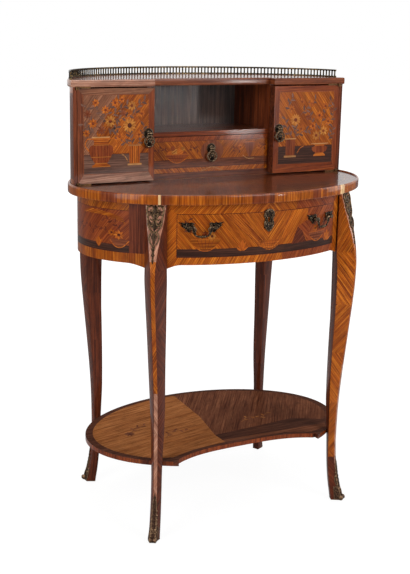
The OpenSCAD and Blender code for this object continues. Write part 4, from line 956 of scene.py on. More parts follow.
edgeBand = {"pieces": 84, "steps": 4, "pale": {53: (0,), 71: (0, 1, 2)}}


def makeEdgeBand():
    a, b, low, high = tableTop["halfW"], tableTop["halfD"], tableTop["underZ"], tableTop["edgeZ"]
    w, inner = tableTop["lipW"], tableTop["surfaceZ"] - 0.6
    profile = [(-2.2, low), (-0.8, low + 0.35), (-0.15, low + 1.6), (0, low + 3.2), (0, high - 4.2),
               (-0.25, high - 2.2), (-1.1, high - 0.7), (-2.4, high), (-w + 1.2, high),
               (-w + 0.3, high - 0.5), (-w, high - 1.2), (-w, inner), (-w, low + 0.2), (-w, low)]
    run = [0]
    for k in range(1, len(profile)):
        run.append(run[-1] + math.dist(profile[k], profile[k - 1]))
    s = Solid()
    n, steps, m = edgeBand["pieces"], edgeBand["steps"], len(profile)
    for k in range(n):
        corners, uvs = [], []
        tone = dice.uniform(-0.18, 0.0)
        away = dice.uniform(0, 4000)
        for j in range(steps + 1):
            t = math.radians(360 * (k + j / steps) / n)
            for q in range(m):
                x, y = outOf(a, b, a * math.cos(t), b * math.sin(t), profile[q][0])
                corners.append((x, y, profile[q][1]))
                uvs.append((run[q] + away, t * 280 + away * 0.4))
        faces = [(j * m + q, (j + 1) * m + q, (j + 1) * m + q + 1, j * m + q + 1)
                 for j in range(steps) for q in range(m - 1)]
        faces += [(j * m + m - 1, (j + 1) * m + m - 1, (j + 1) * m, j * m) for j in range(steps)]
        if k in edgeBand["pale"]:   # a short light piece over each front leg
            lit = [f for f in faces if f[0] // m in edgeBand["pale"][k]]
            s.add(corners, lit, uvs, 0.1, 2)
            faces = [f for f in faces if f not in lit]
        s.add(corners, faces, uvs, tone, 1 if k % 14 in (5, 6, 11) else 0)
    makePiece("edge_band_crossbanding", s, "desk", ["tulipwood", "red_fruitwood", "holly"],
              smooth=30, replacing=("table_edge_band",))


shelf = {"halfW": 306, "halfD": 215, "topZ": 168, "lowZ": 158, "cornerX": 178, "frontY": -162.9,
         "hollow": 30, "hollowHalf": 172, "power": 3.2, "inset": 0.2, "edgeStep": 3}


def hollowY(share):
    # the front edge, hollowed in its middle: share runs from -1 to 1
    return shelf["frontY"] + shelf["hollow"] * (1 - abs(share) ** shelf["power"])


def makeShelfVeneer():
    top = shelf["topZ"]
    p = Panel(flatTop(top), 0, 0.05)
    a, b = shelf["halfW"] - shelf["inset"], shelf["halfD"] - shelf["inset"]
    cx, fy, half = shelf["cornerX"], shelf["frontY"], shelf["hollowHalf"]
    cornerY = -ovalY(a, b, cx)
    back, leftArc, rightArc = ([around(a, b, t) for t in range(*span)]
                               for span in ((0, 181, 3), (180, 234, 3), (306, 360, 3)))
    hollow = [(half * k / 16, hollowY(k / 16)) for k in range(-16, 17)]
    front = [q for q in leftArc if q[0] < -cx] + [(-cx, cornerY), (-cx, fy)] + hollow
    front += [(cx, fy), (cx, cornerY)] + [q for q in rightArc if q[0] > cx]
    p.lay(back + front, "shelf_dark", 0, 0.1, 0)
    # one figured field in two halves: the left painted lighter in ochre and the right painted darker in red,
    # as painted sheen and shade of the light on the veneer; a dark strip before it
    rim = [around(0.945 * a, 0.945 * b, t) for t in range(-24, 226, 5)]
    middle = [(2, 196), (-10, 42), (-34, -74)]
    p.lay([q for q in rim if q[0] < -4] + [(-178, -148), (-120, -129), (-60, -122), (-34, -120)]
          + middle[::-1], "shelf_ochre", 12, 0.0, 1)
    p.lay(middle[::-1] + [q for q in rim if q[0] > 4][::-1] + [(240, -92), (180, -58)],
          "shelf_red", 55, 0.0, 1)
    p.lay([(-34, -74), (180, -58), (240, -92), (236, -118), (150, -116), (-34, -108)],
          "shelf_dark", 0, 0.0, 1.2)
    p.lay([(-34, -108), (150, -116), (236, -118), (226, -136), (176, -152), (120, -129), (60, -122),
           (-34, -120)], "shelf_red", 0, 0.08, 1.2)
    addBloom(p, -205, 15, 12, 8, "shelf_red", "shelf_dark", 0.1, 2)
    addSprig(p, [(-196, 24), (-176, 44), (-150, 50)], "shelf_red", 13, 6, tone=0.1)
    addSprig(p, [(60, -30), (92, -8), (120, -20), (150, 0)], "shelf_ochre", 13, 7, tone=-0.1)
    addSprig(p, [(-140, -40), (-110, -10), (-80, -20)], "shelf_red", 13, 6, tone=0.15)
    p.finish("shelf_veneer", "desk")
    # facing round the shelf's edge
    halfW, halfD, low, high = shelf["halfW"], shelf["halfD"], shelf["lowZ"] + 0.1, top - 0.1
    e = Panel(lambda u, v, lift: (*outOf(halfW, halfD, *around(halfW, halfD, u), lift), v), 2, 0.05)
    for t in range(-52, 232, shelf["edgeStep"]):
        x, y = around(halfW, halfD, t + shelf["edgeStep"] / 2)
        if abs(x) > 180 or y > 0:
            stop = min(t + shelf["edgeStep"], 232)
            e.lay(rect(t, low, stop, high), "red_fruitwood", 90, dice.uniform(-0.1, 0.1), 0)
    e.finish("shelf_edge_side", "desk")
    h = Panel(lambda u, v, lift: (u, hollowY(min(1, abs(u) / half)) - lift, v), 4, 0.2)
    for k in range(-17, 17):
        h.lay(rect(k * 10.1, low, (k + 1) * 10.1, high), "red_fruitwood", 90, dice.uniform(0.0, 0.2), 0)
    h.finish("shelf_edge_front", "desk")


def boardOutline(inset, n=72):
    a, b = cabinet["boardHalfW"] - inset, cabinet["boardHalfD"] - inset
    t0 = math.degrees(math.asin((cabinet["frontY"] + inset * 0.2) / b))
    arc = [around(a, b, t) for t in np.linspace(t0, 180 - t0, n)]
    w, y0, y1 = cabinet["bayHalfW"] + 1, cabinet["frontY"] + inset * 0.5, cabinet["bayY"] + inset * 0.5
    return arc + [(-w - inset * 0.5, y0), (-w - inset * 0.5, y1), (w + inset * 0.5, y1),
                  (w + inset * 0.5, y0)]


def makeCabinetTop():
    # board with a rounded edge, lipped all round
    s = Solid()
    heights = [(3.4, 940.1), (1.2, 940.7), (0.3, 942.2), (0.02, 944.5), (0.02, 950.5), (0.3, 952.8),
               (1.2, 954.4), (3.4, 955)]
    rings = [[(x, y, z) for x, y in boardOutline(inset)] for inset, z in heights]
    n = len(rings[0])
    run = [0]
    for k in range(1, n + 1):
        run.append(run[-1] + math.dist(rings[3][k % n][:2], rings[3][k - 1][:2]))
    for k in range(len(rings) - 1):
        corners, uvs = [], []
        for ring in (rings[k], rings[k + 1]):
            for j in range(n + 1):
                corners.append(ring[j % n])
                uvs.append((run[j], ring[0][2] + heights[k][0]))
        faces = [(j, j + 1, n + 1 + j + 1, n + 1 + j) for j in range(n)]
        # the edge faces of the left front wing get the pale second wood: painted sheen of the lamps
        paintedSheenFaces = [f for f in faces if max(rings[k][j % n][0] for j in f[:2]) < -140 and rings[k][f[0]][1] < 90]
        s.add(corners, [f for f in faces if f not in paintedSheenFaces], uvs, -0.04)
        s.add(corners, paintedSheenFaces, uvs, -0.1, 1)
    top = rings[-1]
    s.add(top, [list(range(n))], [(x, y) for x, y, z in top], -0.1)
    s.add(rings[0], [list(reversed(range(n)))], [(x, y) for x, y, z in rings[0]], -0.1)
    makePiece("cabinet_top_board", s, "desk", ["walnut", "pale_border"], smooth=38,
              replacing=("cabinet_top",))
    p = Panel(flatTop(cabinet["topZ"]), 0, 0.05, 0.04)
    p.lay(boardOutline(11), "kingwood", 0, 0.05, 0)
    field = boardOutline(40)
    arcR, arcL = [q for q in field[:-4] if q[0] >= 0], [q for q in field[:-4] if q[0] <= 0]
    w, y1 = field[-2]
    y0 = field[-1][1]
    back = (0, cabinet["boardHalfD"] - 40)
    p.lay([(0, y1), (w, y1), (w, y0)] + arcR + [back], "walnut", 60, -0.06, 1)
    p.lay([back] + arcL + [(-w, y0), (-w, y1), (0, y1)], "walnut", 120, -0.1, 1)
    p.line(arcR + arcL, 1.6, "boxwood", -0.1, 2)
    p.finish("cabinet_top_veneer", "desk")


makeTopVeneer()
makeEdgeBand()
makeShelfVeneer()
makeCabinetTop()
print("top, shelf and cabinet top are veneered")


# legs: stations of height, outer chamfer (middle x, y, width) and three inner corners
headA, headB, headC = (208.5, 170), (216, 142), (248, 146)
legStations = [
    (721, 230.5, 159.5, 41, headA, headB, headC), (690, 234.6, 166, 36, headA, headB, headC),
    (665, 238.7, 171, 28, headA, headB, headC), (640, 242.6, 175.8, 20.5, headA, headB, headC),
    (615, 246.3, 180.4, 14.5, headA, headB, headC), (588, 248.8, 184.5, 10, headA, headB, headC),
    (560, 249.7, 186.7, 8.5, (209.5, 173), (216, 143), (250.5, 151)),
    (520, 248.5, 187, 8.5, (210.5, 174), (217.5, 142), (249.8, 154)),
    (480, 246.3, 185.6, 8.5, (210.5, 174), (218, 142), (247.8, 155)),
    (440, 243.6, 183.3, 8.3, (210.3, 173), (218, 142.5), (245.3, 154.6)),
    (400, 240.8, 181, 8.2, (210, 171.5), (217.5, 142), (242.8, 153.6)),
    (350, 237.4, 177.9, 8, (209.3, 169.8), (216.8, 142), (239.6, 152.7)),
    (300, 234.4, 174.6, 7.8, (208.8, 169), (216.5, 142), (236.5, 152)),
    (250, 232.3, 171.4, 7.6, (209.5, 168.5), (216.5, 143), (234, 151.5)),
    (200, 231.2, 169.6, 7.6, (211.5, 167.5), (217.5, 146), (233, 152)),
    (150, 230.9, 169, 7.6, (213, 166.5), (219, 149), (232.8, 153.5)),
    (105, 231.9, 170.6, 7.6, (214, 167), (220, 151), (233.8, 155)),
    (70, 234, 173.4, 7.6, (215.5, 168.7), (221.5, 153), (236, 157.5)),
    (35, 238, 178.6, 7.6, (218, 171.8), (224, 156.3), (240, 162)),
    (12, 242, 183.6, 7.6, (220.5, 174.8), (226.5, 159.3), (244, 167)),
    (0, 243.8, 185.8, 7.6, (221.7, 176.2), (227.7, 160.7), (245.8, 169.4)),
]
chamferTurn = math.radians(33)
alongC = np.array((math.cos(chamferTurn), -math.sin(chamferTurn)))
outC = np.array((math.sin(chamferTurn), math.cos(chamferTurn)))
stationZ = [s[0] for s in legStations]
stationV = [np.array([s[1], s[2], s[3], *s[4], *s[5], *s[6]], float) for s in legStations]


def legValues(z):
    last = len(stationZ) - 1
    i = next((k for k in range(last) if z >= stationZ[k + 1]), last - 1)

    def lean(k):
        if k == 0:
            return (stationV[1] - stationV[0]) / (stationZ[1] - stationZ[0])
        if k == last:
            return (stationV[last] - stationV[last - 1]) / (stationZ[last] - stationZ[last - 1])
        p = (stationV[k] - stationV[k - 1]) / (stationZ[k] - stationZ[k - 1])
        q = (stationV[k + 1] - stationV[k]) / (stationZ[k + 1] - stationZ[k])
        both = p + q
        both[both == 0] = 1
        return np.where(p * q <= 0, 0, 2 * p * q / both)

    z0, z1 = stationZ[i], stationZ[i + 1]
    h = z1 - z0
    u = (z - z0) / h
    return ((2 * u ** 3 - 3 * u * u + 1) * stationV[i] + (u ** 3 - 2 * u * u + u) * h * lean(i)
            + (3 * u * u - 2 * u ** 3) * stationV[i + 1] + (u ** 3 - u * u) * h * lean(i + 1))


def legSection(z):
    v = legValues(z)
    c = v[:2]
    h = v[2] / 2
    return [c - h * alongC, v[3:5], v[5:7], v[7:9], c + h * alongC]


def grownSection(section, g):
    out = []
    n = len(section)
    for k in range(n):
        p, q, r = section[k - 1], section[k], section[(k + 1) % n]
        u, w = (q - p) / np.linalg.norm(q - p), (r - q) / np.linalg.norm(r - q)
        m, t = np.array((-u[1], u[0])), np.array((-w[1], w[0]))
        out.append(q - g * (m + t) / (1 + m.dot(t)))
    return out


def cornered(xs, ys, point):
    # puts a point of the described leg on one of the four: xs and ys are 1 or -1
    return (xs * point[0], ys * point[1], point[2])


legPlan = {"top": 721.0, "low": 1.5, "ringStep": 7, "round": 0.9, "pieceHeight": 118,
           "grain": (52, 90, 90, 128, 118), "tone": (-0.02, -0.1, -0.1, 0.0, -0.06)}
legWoods = ["kingwood", "tulipwood", "pale_border"]


def legWood(xs, ys, face, z):
    # number of the wood: the outer corner is pale beside the mounts, a painted sheen of the lamps, and the
    # right front leg is orange
    if face == 4:
        return 2 if z > 610 or z < 330 else 1
    return 1 if face == 0 and xs > 0 and ys < 0 and z > 105 else 0


def towards(a, b, far):
    return a + (b - a) / np.linalg.norm(b - a) * far


def makeLeg(name, xs, ys):
    heights = list(np.arange(legPlan["top"], legPlan["low"], -legPlan["ringStep"])) + [legPlan["low"]]
    turned = xs * ys < 0
    s = Solid()
    sections = [legSection(z) for z in heights]
    d = legPlan["round"]
    for k in range(5):
        strip = []   # the face from its first corner, with the next corner rounded
        for sec in sections:
            q0, q1, q2 = sec[k], sec[(k + 1) % 5], sec[(k + 2) % 5]
            before, after = towards(q1, q0, d), towards(q1, q2, d)
            strip.append([towards(q0, q1, d), before, 0.27 * before + 0.46 * q1 + 0.27 * after, after])
        for i in range(len(heights) - 1):
            corners, uvs = [], []
            g = math.radians(legPlan["grain"][k])
            mid = (heights[i] + heights[i + 1]) / 2
            piece = math.floor(mid / legPlan["pieceHeight"])
            if k in (0, 3, 4) and piece % 2:
                g = math.pi - g
            away = 900 * k + 530 * piece + 77 * (xs + 2) + 31 * (ys + 2)
            for z, row in zip(heights[i:i + 2], strip[i:i + 2]):
                for q in row:
                    corners.append(cornered(xs, ys, (q[0], q[1], z)))
                    u = (q - row[0]).dot(row[1] - row[0]) / max(1e-6, np.linalg.norm(row[1] - row[0]))
                    uvs.append((u * math.cos(g) + z * math.sin(g) + away, -u * math.sin(g) + z * math.cos(g)))
            faces = [(j, 4 + j, 4 + j + 1, j + 1) for j in range(3)]
            if turned:
                faces = [tuple(reversed(f)) for f in faces]
            skin = legWood(xs, ys, k, mid)
            paintedSheenLift = (0.3 if mid > 400 else 0.12) if skin == 2 else 0
            s.add(corners, faces, uvs, legPlan["tone"][k] + 0.05 * math.sin(3.7 * piece + k) + paintedSheenLift, skin)
    for z, sec, up in ((legPlan["top"], sections[0], True), (legPlan["low"], sections[-1], False)):
        cap = [cornered(xs, ys, (q[0], q[1], z)) for q in sec]
        order = list(range(5)) if up == (not turned) else list(reversed(range(5)))
        s.add(cap, [order], [(q[0], q[1]) for q in sec], -0.2)
    me = makePiece(name + "_veneered", s, "desk", legWoods, replacing=(name,)).data
    bm = bmesh.new()
    bm.from_mesh(me)
    bmesh.ops.remove_doubles(bm, verts=bm.verts, dist=2e-6)
    bm.to_mesh(me)
    bm.free()
    smoothed(me, 50)


for depth, ys in (("front", -1), ("back", 1)):
    for xs in (-1, 1):
        makeLeg("leg_" + depth + "_" + sideName[xs], xs, ys)
print("legs are veneered")


# cast mounts: chutes, shoes, lock plate, bails, rosettes and drops
def chamferPlace(xs, ys):
    def place(u, v, w):
        values = legValues(v)
        c = values[:2] + alongC * u + outC * w
        return cornered(xs, ys, (c[0], c[1], v))
    return place


def raised(place, by):
    return lambda u, v, w: place(u, v, w + by)


def addBothSides(points, radii, solid, place, w=1.6, count=20, sides=7):
    for s in (-1, 1):
        addScroll(solid, [(s * x, y) for x, y in points], radii, place, w, count, sides)


def makeChutes():
    s = Solid()
    for xs in (-1, 1):
        place = chamferPlace(xs, -1)
        addBothSides([(15, 718), (17, 708), (14.5, 695), (13.5, 681), (8, 671), (4.4, 668)],
                     [1.4, 2, 1.7, 1.8, 1.3], s, place)
        addBothSides([(4.4, 667.5), (8, 663), (10, 656), (7.5, 647), (3, 641)], [1.2, 1.7, 1.5, 1.1], s,
                     place)
        addBothSides([(14, 714), (9, 718), (4, 715), (5, 709), (9, 710)], [1.5, 1.5, 1.2, 1.0], s, place)
        addBothSides([(13, 700), (7, 700), (3.5, 695), (6.5, 689), (9, 692)], [1.3, 1.5, 1.2, 1.0], s, place)
        addBothSides([(12.6, 683), (7, 680), (3, 684), (2, 690)], [1.2, 1.5, 1.0], s, place)
        for a, b, width, high, lobes in (((0, 700), (0, 719), 6, 2.4, 3), ((0, 704), (0, 684), 5, 2.6, 4),
                                         ((0, 686), (0, 669), 7.5, 2.4, 3), ((0, 668), (0, 640), 4, 2.2, 5),
                                         ((0, 641), (0, 626), 4, 2.2, 2), ((0, 629), (0, 614), 3.2, 2, 2),
                                         ((0, 617), (0, 604.3), 2.4, 1.8, 2)):
            addLeaf(s, [a, ((a[0] + b[0]) / 2, (a[1] + b[1]) / 2), b], width, high, place, lobes)
        for sgn in (-1, 1):
            addLeaf(s, [(sgn * 4, 697), (sgn * 9, 704), (sgn * 15, 707)], 3.4, 2, place, 3)
            addLeaf(s, [(sgn * 3, 676), (sgn * 8, 682), (sgn * 12, 690)], 3, 1.8, place, 3)
            addLeaf(s, [(sgn * 1, 650), (sgn * 4, 657), (sgn * 7, 661)], 2, 1.6, place, 3)
        for u, v, r in ((0, 702, 2.2), (0, 667, 2.2), (0, 640, 1.7)):
            addBall(s, (u, v, 2.2), r, place, 5, 8, (1, 1, 0.9))
    castPiece("chute_castings", s, "desk", "dark_bronze", 55, ("chutes",))


shoe = {"gap": 0.2, "reach": ((36, 8), (24, 10.5), (12, 12.5), (0, 14)), "toe": 6.5,
        "levels": ((1.5, 1.3), (4, 1.6), (8, 1.3), (20, 1.2), (24, 1.3), (26, 1.65), (28.5, 1.6), (30, 1.2),
                   (34, 0.9))}


def shoeRing(z, thick, reach, scallop):
    # the shell's outline at one height: outside from the front face round the corner, then back inside
    def side(corner, along, far):
        d = along - corner
        size = np.linalg.norm(d)
        d = d / size
        return [corner + d * min(far / -d.dot(outC), size * 0.97) * k / 6 for k in range(7)]
    outer, inner = (grownSection(legSection(z), g) for g in (thick, shoe["gap"]))
    ring = []
    for sec, back in ((outer, False), (inner, True)):
        row = side(sec[0], sec[1], reach)[::-1] + [sec[0] + (sec[4] - sec[0]) * k / 4 for k in (1, 2, 3)]
        row += side(sec[4], sec[3], reach)
        drop = [scallop * abs(math.sin(math.pi * k / 3.4)) for k in range(len(row))]
        row = [(q[0], q[1], z - h) for q, h in zip(row, drop)]
        ring += row[::-1] if back else row
    return ring


def makeSabots():
    s = Solid()
    heights, reaches = zip(*sorted(shoe["reach"]))
    for xs in (-1, 1):
        for ys in (-1, 1):
            rows = [[cornered(xs, ys, c) for c in shoeRing(z, g, float(np.interp(z, heights, reaches)),
                                                           2.4 if z > 33 else 0)]
                    for z, g in shoe["levels"]]
            n = len(rows[0])
            faces = ringFaces(len(rows), n)
            for end in (0, (len(rows) - 1) * n):
                faces += [(end + j, end + j + 1, end + n - 2 - j, end + n - 1 - j) for j in range(n // 2 - 1)]
            s.add([c for row in rows for c in row], faces)
            sole = [cornered(xs, ys, (q[0], q[1], z))
                    for z in (0, 1.5) for q in grownSection(legSection(0), 0.1)]
            s.add(sole, [(0, 1, 2, 3, 4), (5, 6, 7, 8, 9)] + ringFaces(2, 5))
            place = chamferPlace(xs, ys)
            addLeaf(s, [(0, 20), (0, 62), (0, 105)], 6.4, 3.0, place, 9, 0.4, 41)
            for sgn in (-1, 1):
                addScroll(s, [(sgn * u, v) for u, v in ((5.4, 28), (4.6, 44), (3.6, 60), (4.2, 76),
                                                        (2.4, 92))],
                          [1.2, 1.1, 0.9, 0.7], place, 1.2, 22, 7)
                addScroll(s, [(sgn * u, v) for u, v in ((4.6, 13), (5.4, 22), (3.4, 29), (1.6, 24),
                                                        (2.8, 20))],
                          [1.3, 1.3, 1.1, 0.8], place, 2.0, 22, 7)
            mid = legValues(shoe["toe"])[:2]

            def atToe(u, v, w):
                return cornered(xs, ys, (*(mid + alongC * u + outC * w), v))
            addTube(s, [(u, shoe["toe"], 2.0) for u in (-7.5, -6, -3, 0, 3, 6, 7.5)],
                    [4.6, 6.2, 5.3, 4.8, 5.3, 6.2, 4.6], 16, atToe)
            for sgn in (-1, 1):
                addBall(s, (sgn * 7.2, shoe["toe"], 2.0), 2.6, atToe, 6, 10)
            # leaves cast on the shell's two sides
            sec = legSection(15)
            for start, along in ((sec[0], sec[1]), (sec[4], sec[3])):
                d = (along - start) / np.linalg.norm(along - start)
                out = np.array((d[1], -d[0]))
                out = out if out.dot(outC) > 0 else -out

                def onSide(u, v, w, start=start, d=d, out=out):
                    lean = legValues(v)[:2] - legValues(15)[:2]
                    return cornered(xs, ys, (*(start + lean + d * u + out * (w + 0.9)), v))
                addLeaf(s, [(1, 6), (4.5, 16), (3, 30)], 2.6, 1.1, onSide, 4, 0.2, 15)
                addLeaf(s, [(4, 4), (8, 9), (9, 18)], 2.2, 1.0, onSide, 3, 0.2, 13)
                addLeaf(s, [(0.5, 32), (3.0, 46), (0.8, 66)], 2.4, 1.2, onSide, 4, 0.0, 15)
                addScroll(s, [(2, 8), (6, 12), (8.5, 20), (5.5, 25), (3.5, 21)], [0.9, 1.0, 0.9, 0.7], onSide,
                          0.4, 18, 6)
    castPiece("shoe_castings", s, "desk", "shoe_bronze", replacing=("sabots",))


lockPlate = {"z": 683, "wide": 0.8, "tall": 1.14, "points": 60}


def makeLockPlate():
    s = Solid()
    face = frontFace(apron["halfW"], apron["halfD"])
    n = lockPlate["points"]

    def place(u, v, w):
        return face(u * lockPlate["wide"], lockPlate["z"] + v * lockPlate["tall"], w + 0.2)
    ring = smooth([(0, 20), (8, 17), (14.5, 10), (12, 3), (13.5, -5), (9, -14), (0, -20), (-9, -14),
                   (-13.5, -5), (-12, 3), (-14.5, 10), (-8, 17)], n)
    hole = [(x, y + 1) for x, y in oval(0, 0, 3.4, 5.2, n, 90)]
    # both outlines start at their top and run to the left
    start = max(range(n), key=lambda k: ring[k][1])
    ring = ring[start:] + ring[:start]
    ring = ring if ring[5][0] < 0 else [ring[0]] + ring[:0:-1]
    rows = [(ring, share, z) for share, z in ((1, 0), (1, 1.6), (0.86, 2.4), (0.62, 1.5))]
    rows += [(hole, 1, z) for z in (1.2, -0.6)]
    corners = [place(x * share, y * share, z) for line, share, z in rows for x, y in line]
    s.add(corners, ringFaces(len(rows), n))
    addBothSides([(2, 19.4), (8, 18), (13.4, 13), (14.6, 7), (11.4, 5), (9.6, 9)], [0.9, 1.5, 1.4, 1.0], s,
                 place, 1.8)
    addBothSides([(2, -20), (7, -17), (12.4, -11), (13.4, -4), (10, -3), (9, -7)], [0.9, 1.4, 1.3, 1.0], s,
                 place, 1.8)
    addBothSides([(6, 6), (8.5, 1), (6, -6), (2, -8)], [0.8, 1.1, 0.8], s, place, 2.2)
    addLeaf(s, [(0, 12), (0, 17), (0, 21)], 5.0, 2.6, place, 3, 0.6)
    addLeaf(s, [(0, -12), (0, -17), (0, -22)], 4.6, 2.6, place, 3, 0.6)
    for x in (-1, 1):
        addLeaf(s, [(x * 7, 11), (x * 11.5, 14.5), (x * 14.4, 15.6)], 3.0, 2, place, 3, 0.8)
        addLeaf(s, [(x * 7, -9), (x * 11, -12.5), (x * 13, -15)], 2.8, 2, place, 3, 0.8)
    castPiece("lock_plate_casting", s, "main_drawer", "darkest_bronze", replacing=("escutcheon",))
    # a near-black disc just behind the keyhole: painted shade inside the hole
    dark = Solid()
    dark.add([place(x, y, -0.1) for x, y in hole], [list(range(n))])
    castPiece("keyhole_shade", dark, "main_drawer", "keyhole_dark", None)


bail = {"x": 143.7, "z": 675, "postOut": 8, "half": 26, "arm": 18, "drop": 19, "bend": 12, "rod": 1.6}


def bailSlope():
    a, x = apron["halfW"], bail["x"]
    return math.atan(apron["halfD"] * x / (a ** 2 * math.sqrt(1 - (x / a) ** 2)))


def bailFrame(side):
    # u along the rod, v up, w out of the drawer
    x0 = bail["x"]
    y0 = -ovalY(apron["halfW"], apron["halfD"], x0)
    c, sn = math.cos(bailSlope()), math.sin(bailSlope())

    def place(u, v, w):
        u = u if side > 0 else -u
        x, y = x0 + u * c + w * sn, y0 + u * sn - w * c
        return (side * x, y, bail["z"] + v)
    return place


def makeBails():
    a, d, r, out, rod = (bail[k] for k in ("arm", "drop", "bend", "postOut", "rod"))
    for side in (-1, 1):
        s = Solid()
        place = bailFrame(side)
        path = [(-a, 0), (-a, -3.5), (-a, -(d - r))]
        path += [(-a + r - r * math.cos(math.radians(t)), -(d - r) - r * math.sin(math.radians(t)))
                 for t in range(15, 90, 15)]
        path += [(-a + r, -d), (-3, -d), (0, -d)]
        path = path + [(-x, y) for x, y in path[-2::-1]]
        line = curveThrough(path, 60)
        radii = [rod * (0.85 + 0.35 * abs(2 * k / 59 - 1) + 0.1 * math.cos(2 * math.pi * k / 59 * 7))
                 for k in range(60)]
        addTube(s, [(x, y, out) for x, y in line], radii, 12, place)
        onRod = raised(place, out + 0.4)
        for x in (-1, 1):
            addTube(s, [(x * (a - 2.8), 0, out), (x * (a - 1), 0, out), (x * (a + 2.8), 0, out),
                        (x * (a + 8), 0, out), (x * (bail["half"] + 4.4), 0, out)],
                    [2.0, 2.8, 2.5, 1.75, 1.7], 10, place)
            addLeaf(s, [(x * (a + 1.5), 1.5), (x * (a - 0.5), -7), (x * (a - 6), -15)], 3.4, 1.9, onRod, 4,
                    0.2, 21)
            addLeaf(s, [(x * 2.5, -d), (x * 7, -d + 0.4), (x * 11, -d + 2.4)], 2.4, 1.5, onRod, 3, 0.2, 13)
            addScroll(s, [(x * (a - 3), -1), (x * (a - 5.5), -4), (x * (a - 4), -7.5), (x * (a - 2), -6)],
                      [1.2, 1.2, 0.9], raised(place, out - 1.2), 1.2, 14, 7)
            addBall(s, (x * (a - r), -d, out), 2.7, place, 7, 12, (0.6, 1, 1))
        addBall(s, (0, -d, out), 3.3, place, 8, 14, (0.8, 1, 1))
        for x in (-3.4, 3.4):
            addBall(s, (x, -d, out), 2.6, place, 6, 12, (0.45, 1, 1))
        name = "bail_" + sideName[side]
        castPiece(name + "_casting", s, name, "darkest_bronze", 60, (name,))


def makeBailPlates():
    s = Solid()
    face = frontFace(apron["halfW"], apron["halfD"])
    for side in (-1, 1):
        for post in (-1, 1):
            cx = side * (bail["x"] + post * bail["half"] * math.cos(bailSlope()))
            way = side * post

            def place(u, v, w, cx=cx, way=way):
                return face(cx + way * u, bail["z"] + v, w + 0.3)
            for spine, width in (([(-1, -8), (5, 2), (18.5, 8.8)], 3.6),
                                 ([(1, -3), (-4, 4), (-10.6, 6.8)], 2.8),
                                 ([(1, 0), (3.4, 5), (4, 8.8)], 2.2), ([(-2, 0), (-4, 5), (-5.6, 8.8)], 1.9),
                                 ([(0, -1), (0.4, -7), (0, -11.8)], 2.8),
                                 ([(4, -4), (9, 0), (16, 3.2)], 2.4)):
                addLeaf(s, spine, width, 2.8, place, 4, 1.2)
            addScroll(s, [(4, -6), (7.5, -2.5), (9.4, 1.5), (6.8, 3.4), (5.4, 1)], [1.0, 1.3, 1.1, 0.8],
                      place, 2.0, 20, 7)
            addScroll(s, [(-3, -5), (-6, -1.5), (-8.4, 2.5), (-6, 4.2), (-4.6, 2)], [1.0, 1.2, 1.0, 0.8],
                      place, 2.0, 20, 7)
            for k in range(8):
                addBall(s, (*around(4.9, 4.9, 45 * k), 2.4), 1.1, place, 4, 7)
    castPiece("bail_plate_leafage", s, "main_drawer", "darkest_bronze", 55)


pulls = {"doorX": 164, "doorZ": 842.05, "smallZ": 802.3, "hang": 30, "bowl": 13.2, "pinOut": 6, "rose": 11}


def makePull(label, cx, y0, cz, carrier, dropBody, dropNode):
    def place(u, v, w):
        return (cx + u, y0 - w, cz + v)
    s = Solid()
    for k in range(10):
        spine = [around(r, r, 36 * k + 18) for r in (4.4, 7.4, pulls["rose"] * 0.985)]
        addLeaf(s, spine, 2.4, 1.5, place, 1, 1.1, 9)
    addTube(s, [(*around(5.0, 5.0, t), 2.3) for t in range(0, 361, 18)], [0.9, 0.9], 7, place, caps=False)
    castPiece(label + "_rosette_petals", s, carrier, "darkest_bronze")
    d = Solid()
    out, r = pulls["pinOut"], pulls["bowl"]
    zc = r - pulls["hang"]
    loop = [around(r - 2.0, r - 2.0, t - 90) for t in range(-150, 151, 10)]
    loop = [(-3.0, -3.4, out)] + [(x, zc + y, out) for x, y in loop] + [(3.0, -3.4, out)]
    addTube(d, curveThrough(loop, 48), [1.3, 1.7, 2.0, 1.9, 2.0, 1.7, 1.3], 8, place)
    addTube(d, [(-4.2, 0, out), (-2, 0, out), (2, 0, out), (4.2, 0, out)], [2.3, 2.4, 2.4, 2.3], 10, place)
    onBowl = raised(place, out - 1.4)
    for x in (-1, 1):
        addScroll(d, [(x * 2.4, -4), (x * 4.6, -9), (x * 2.6, -13), (x * 0.8, -10.5)], [1.5, 1.5, 1.2, 0.9],
                  onBowl, 1.4, 16, 7)
        addScroll(d, [(x * 9.4, -12), (x * 6, -15), (x * 4.6, -20), (x * 7.6, -21.5)], [1.4, 1.3, 1.1, 0.9],
                  onBowl, 1.4, 16, 7)
    addLeaf(d, [(0, -12), (0, -20), (0, -29)], 5.4, 2.4, raised(place, out - 1.3), 4, 0.3, 17)
    addBall(d, (0, -16.5, out + 0.4), 2.4, place, 6, 10)
    addBall(d, (0, -5.2, out), 2.7, place, 6, 10, (1.1, 1, 0.9))
    castPiece(label + "_drop_casting", d, dropBody, "darkest_bronze", 55, (dropNode,))


makeChutes()
makeSabots()
makeLockPlate()
makeBails()
makeBailPlates()
for side in (-1, 1):
    door = "door_" + sideName[side]
    makePull(door, side * pulls["doorX"], cabinet["frontY"], pulls["doorZ"], door, door + "_drop",
             door + "_drop")
makePull("small_drawer", 0, cabinet["bayY"], pulls["smallZ"], "small_drawer", "small_drop",
         "small_drawer_drop")
print("mounts are cast")


# gallery: turned spindles set along the oval
gallery = {"halfW": 334.5, "halfD": 230.5, "frontY": 40.1, "low": 957.2, "height": 11.6, "radius": 2.375,
           "pitch": 8.0,
           "profile": ((0, 0.98), (0.1, 0.92), (0.2, 0.66), (0.36, 0.84), (0.5, 0.68), (0.66, 0.82),
                       (0.8, 0.66), (0.92, 0.92), (1, 0.98))}


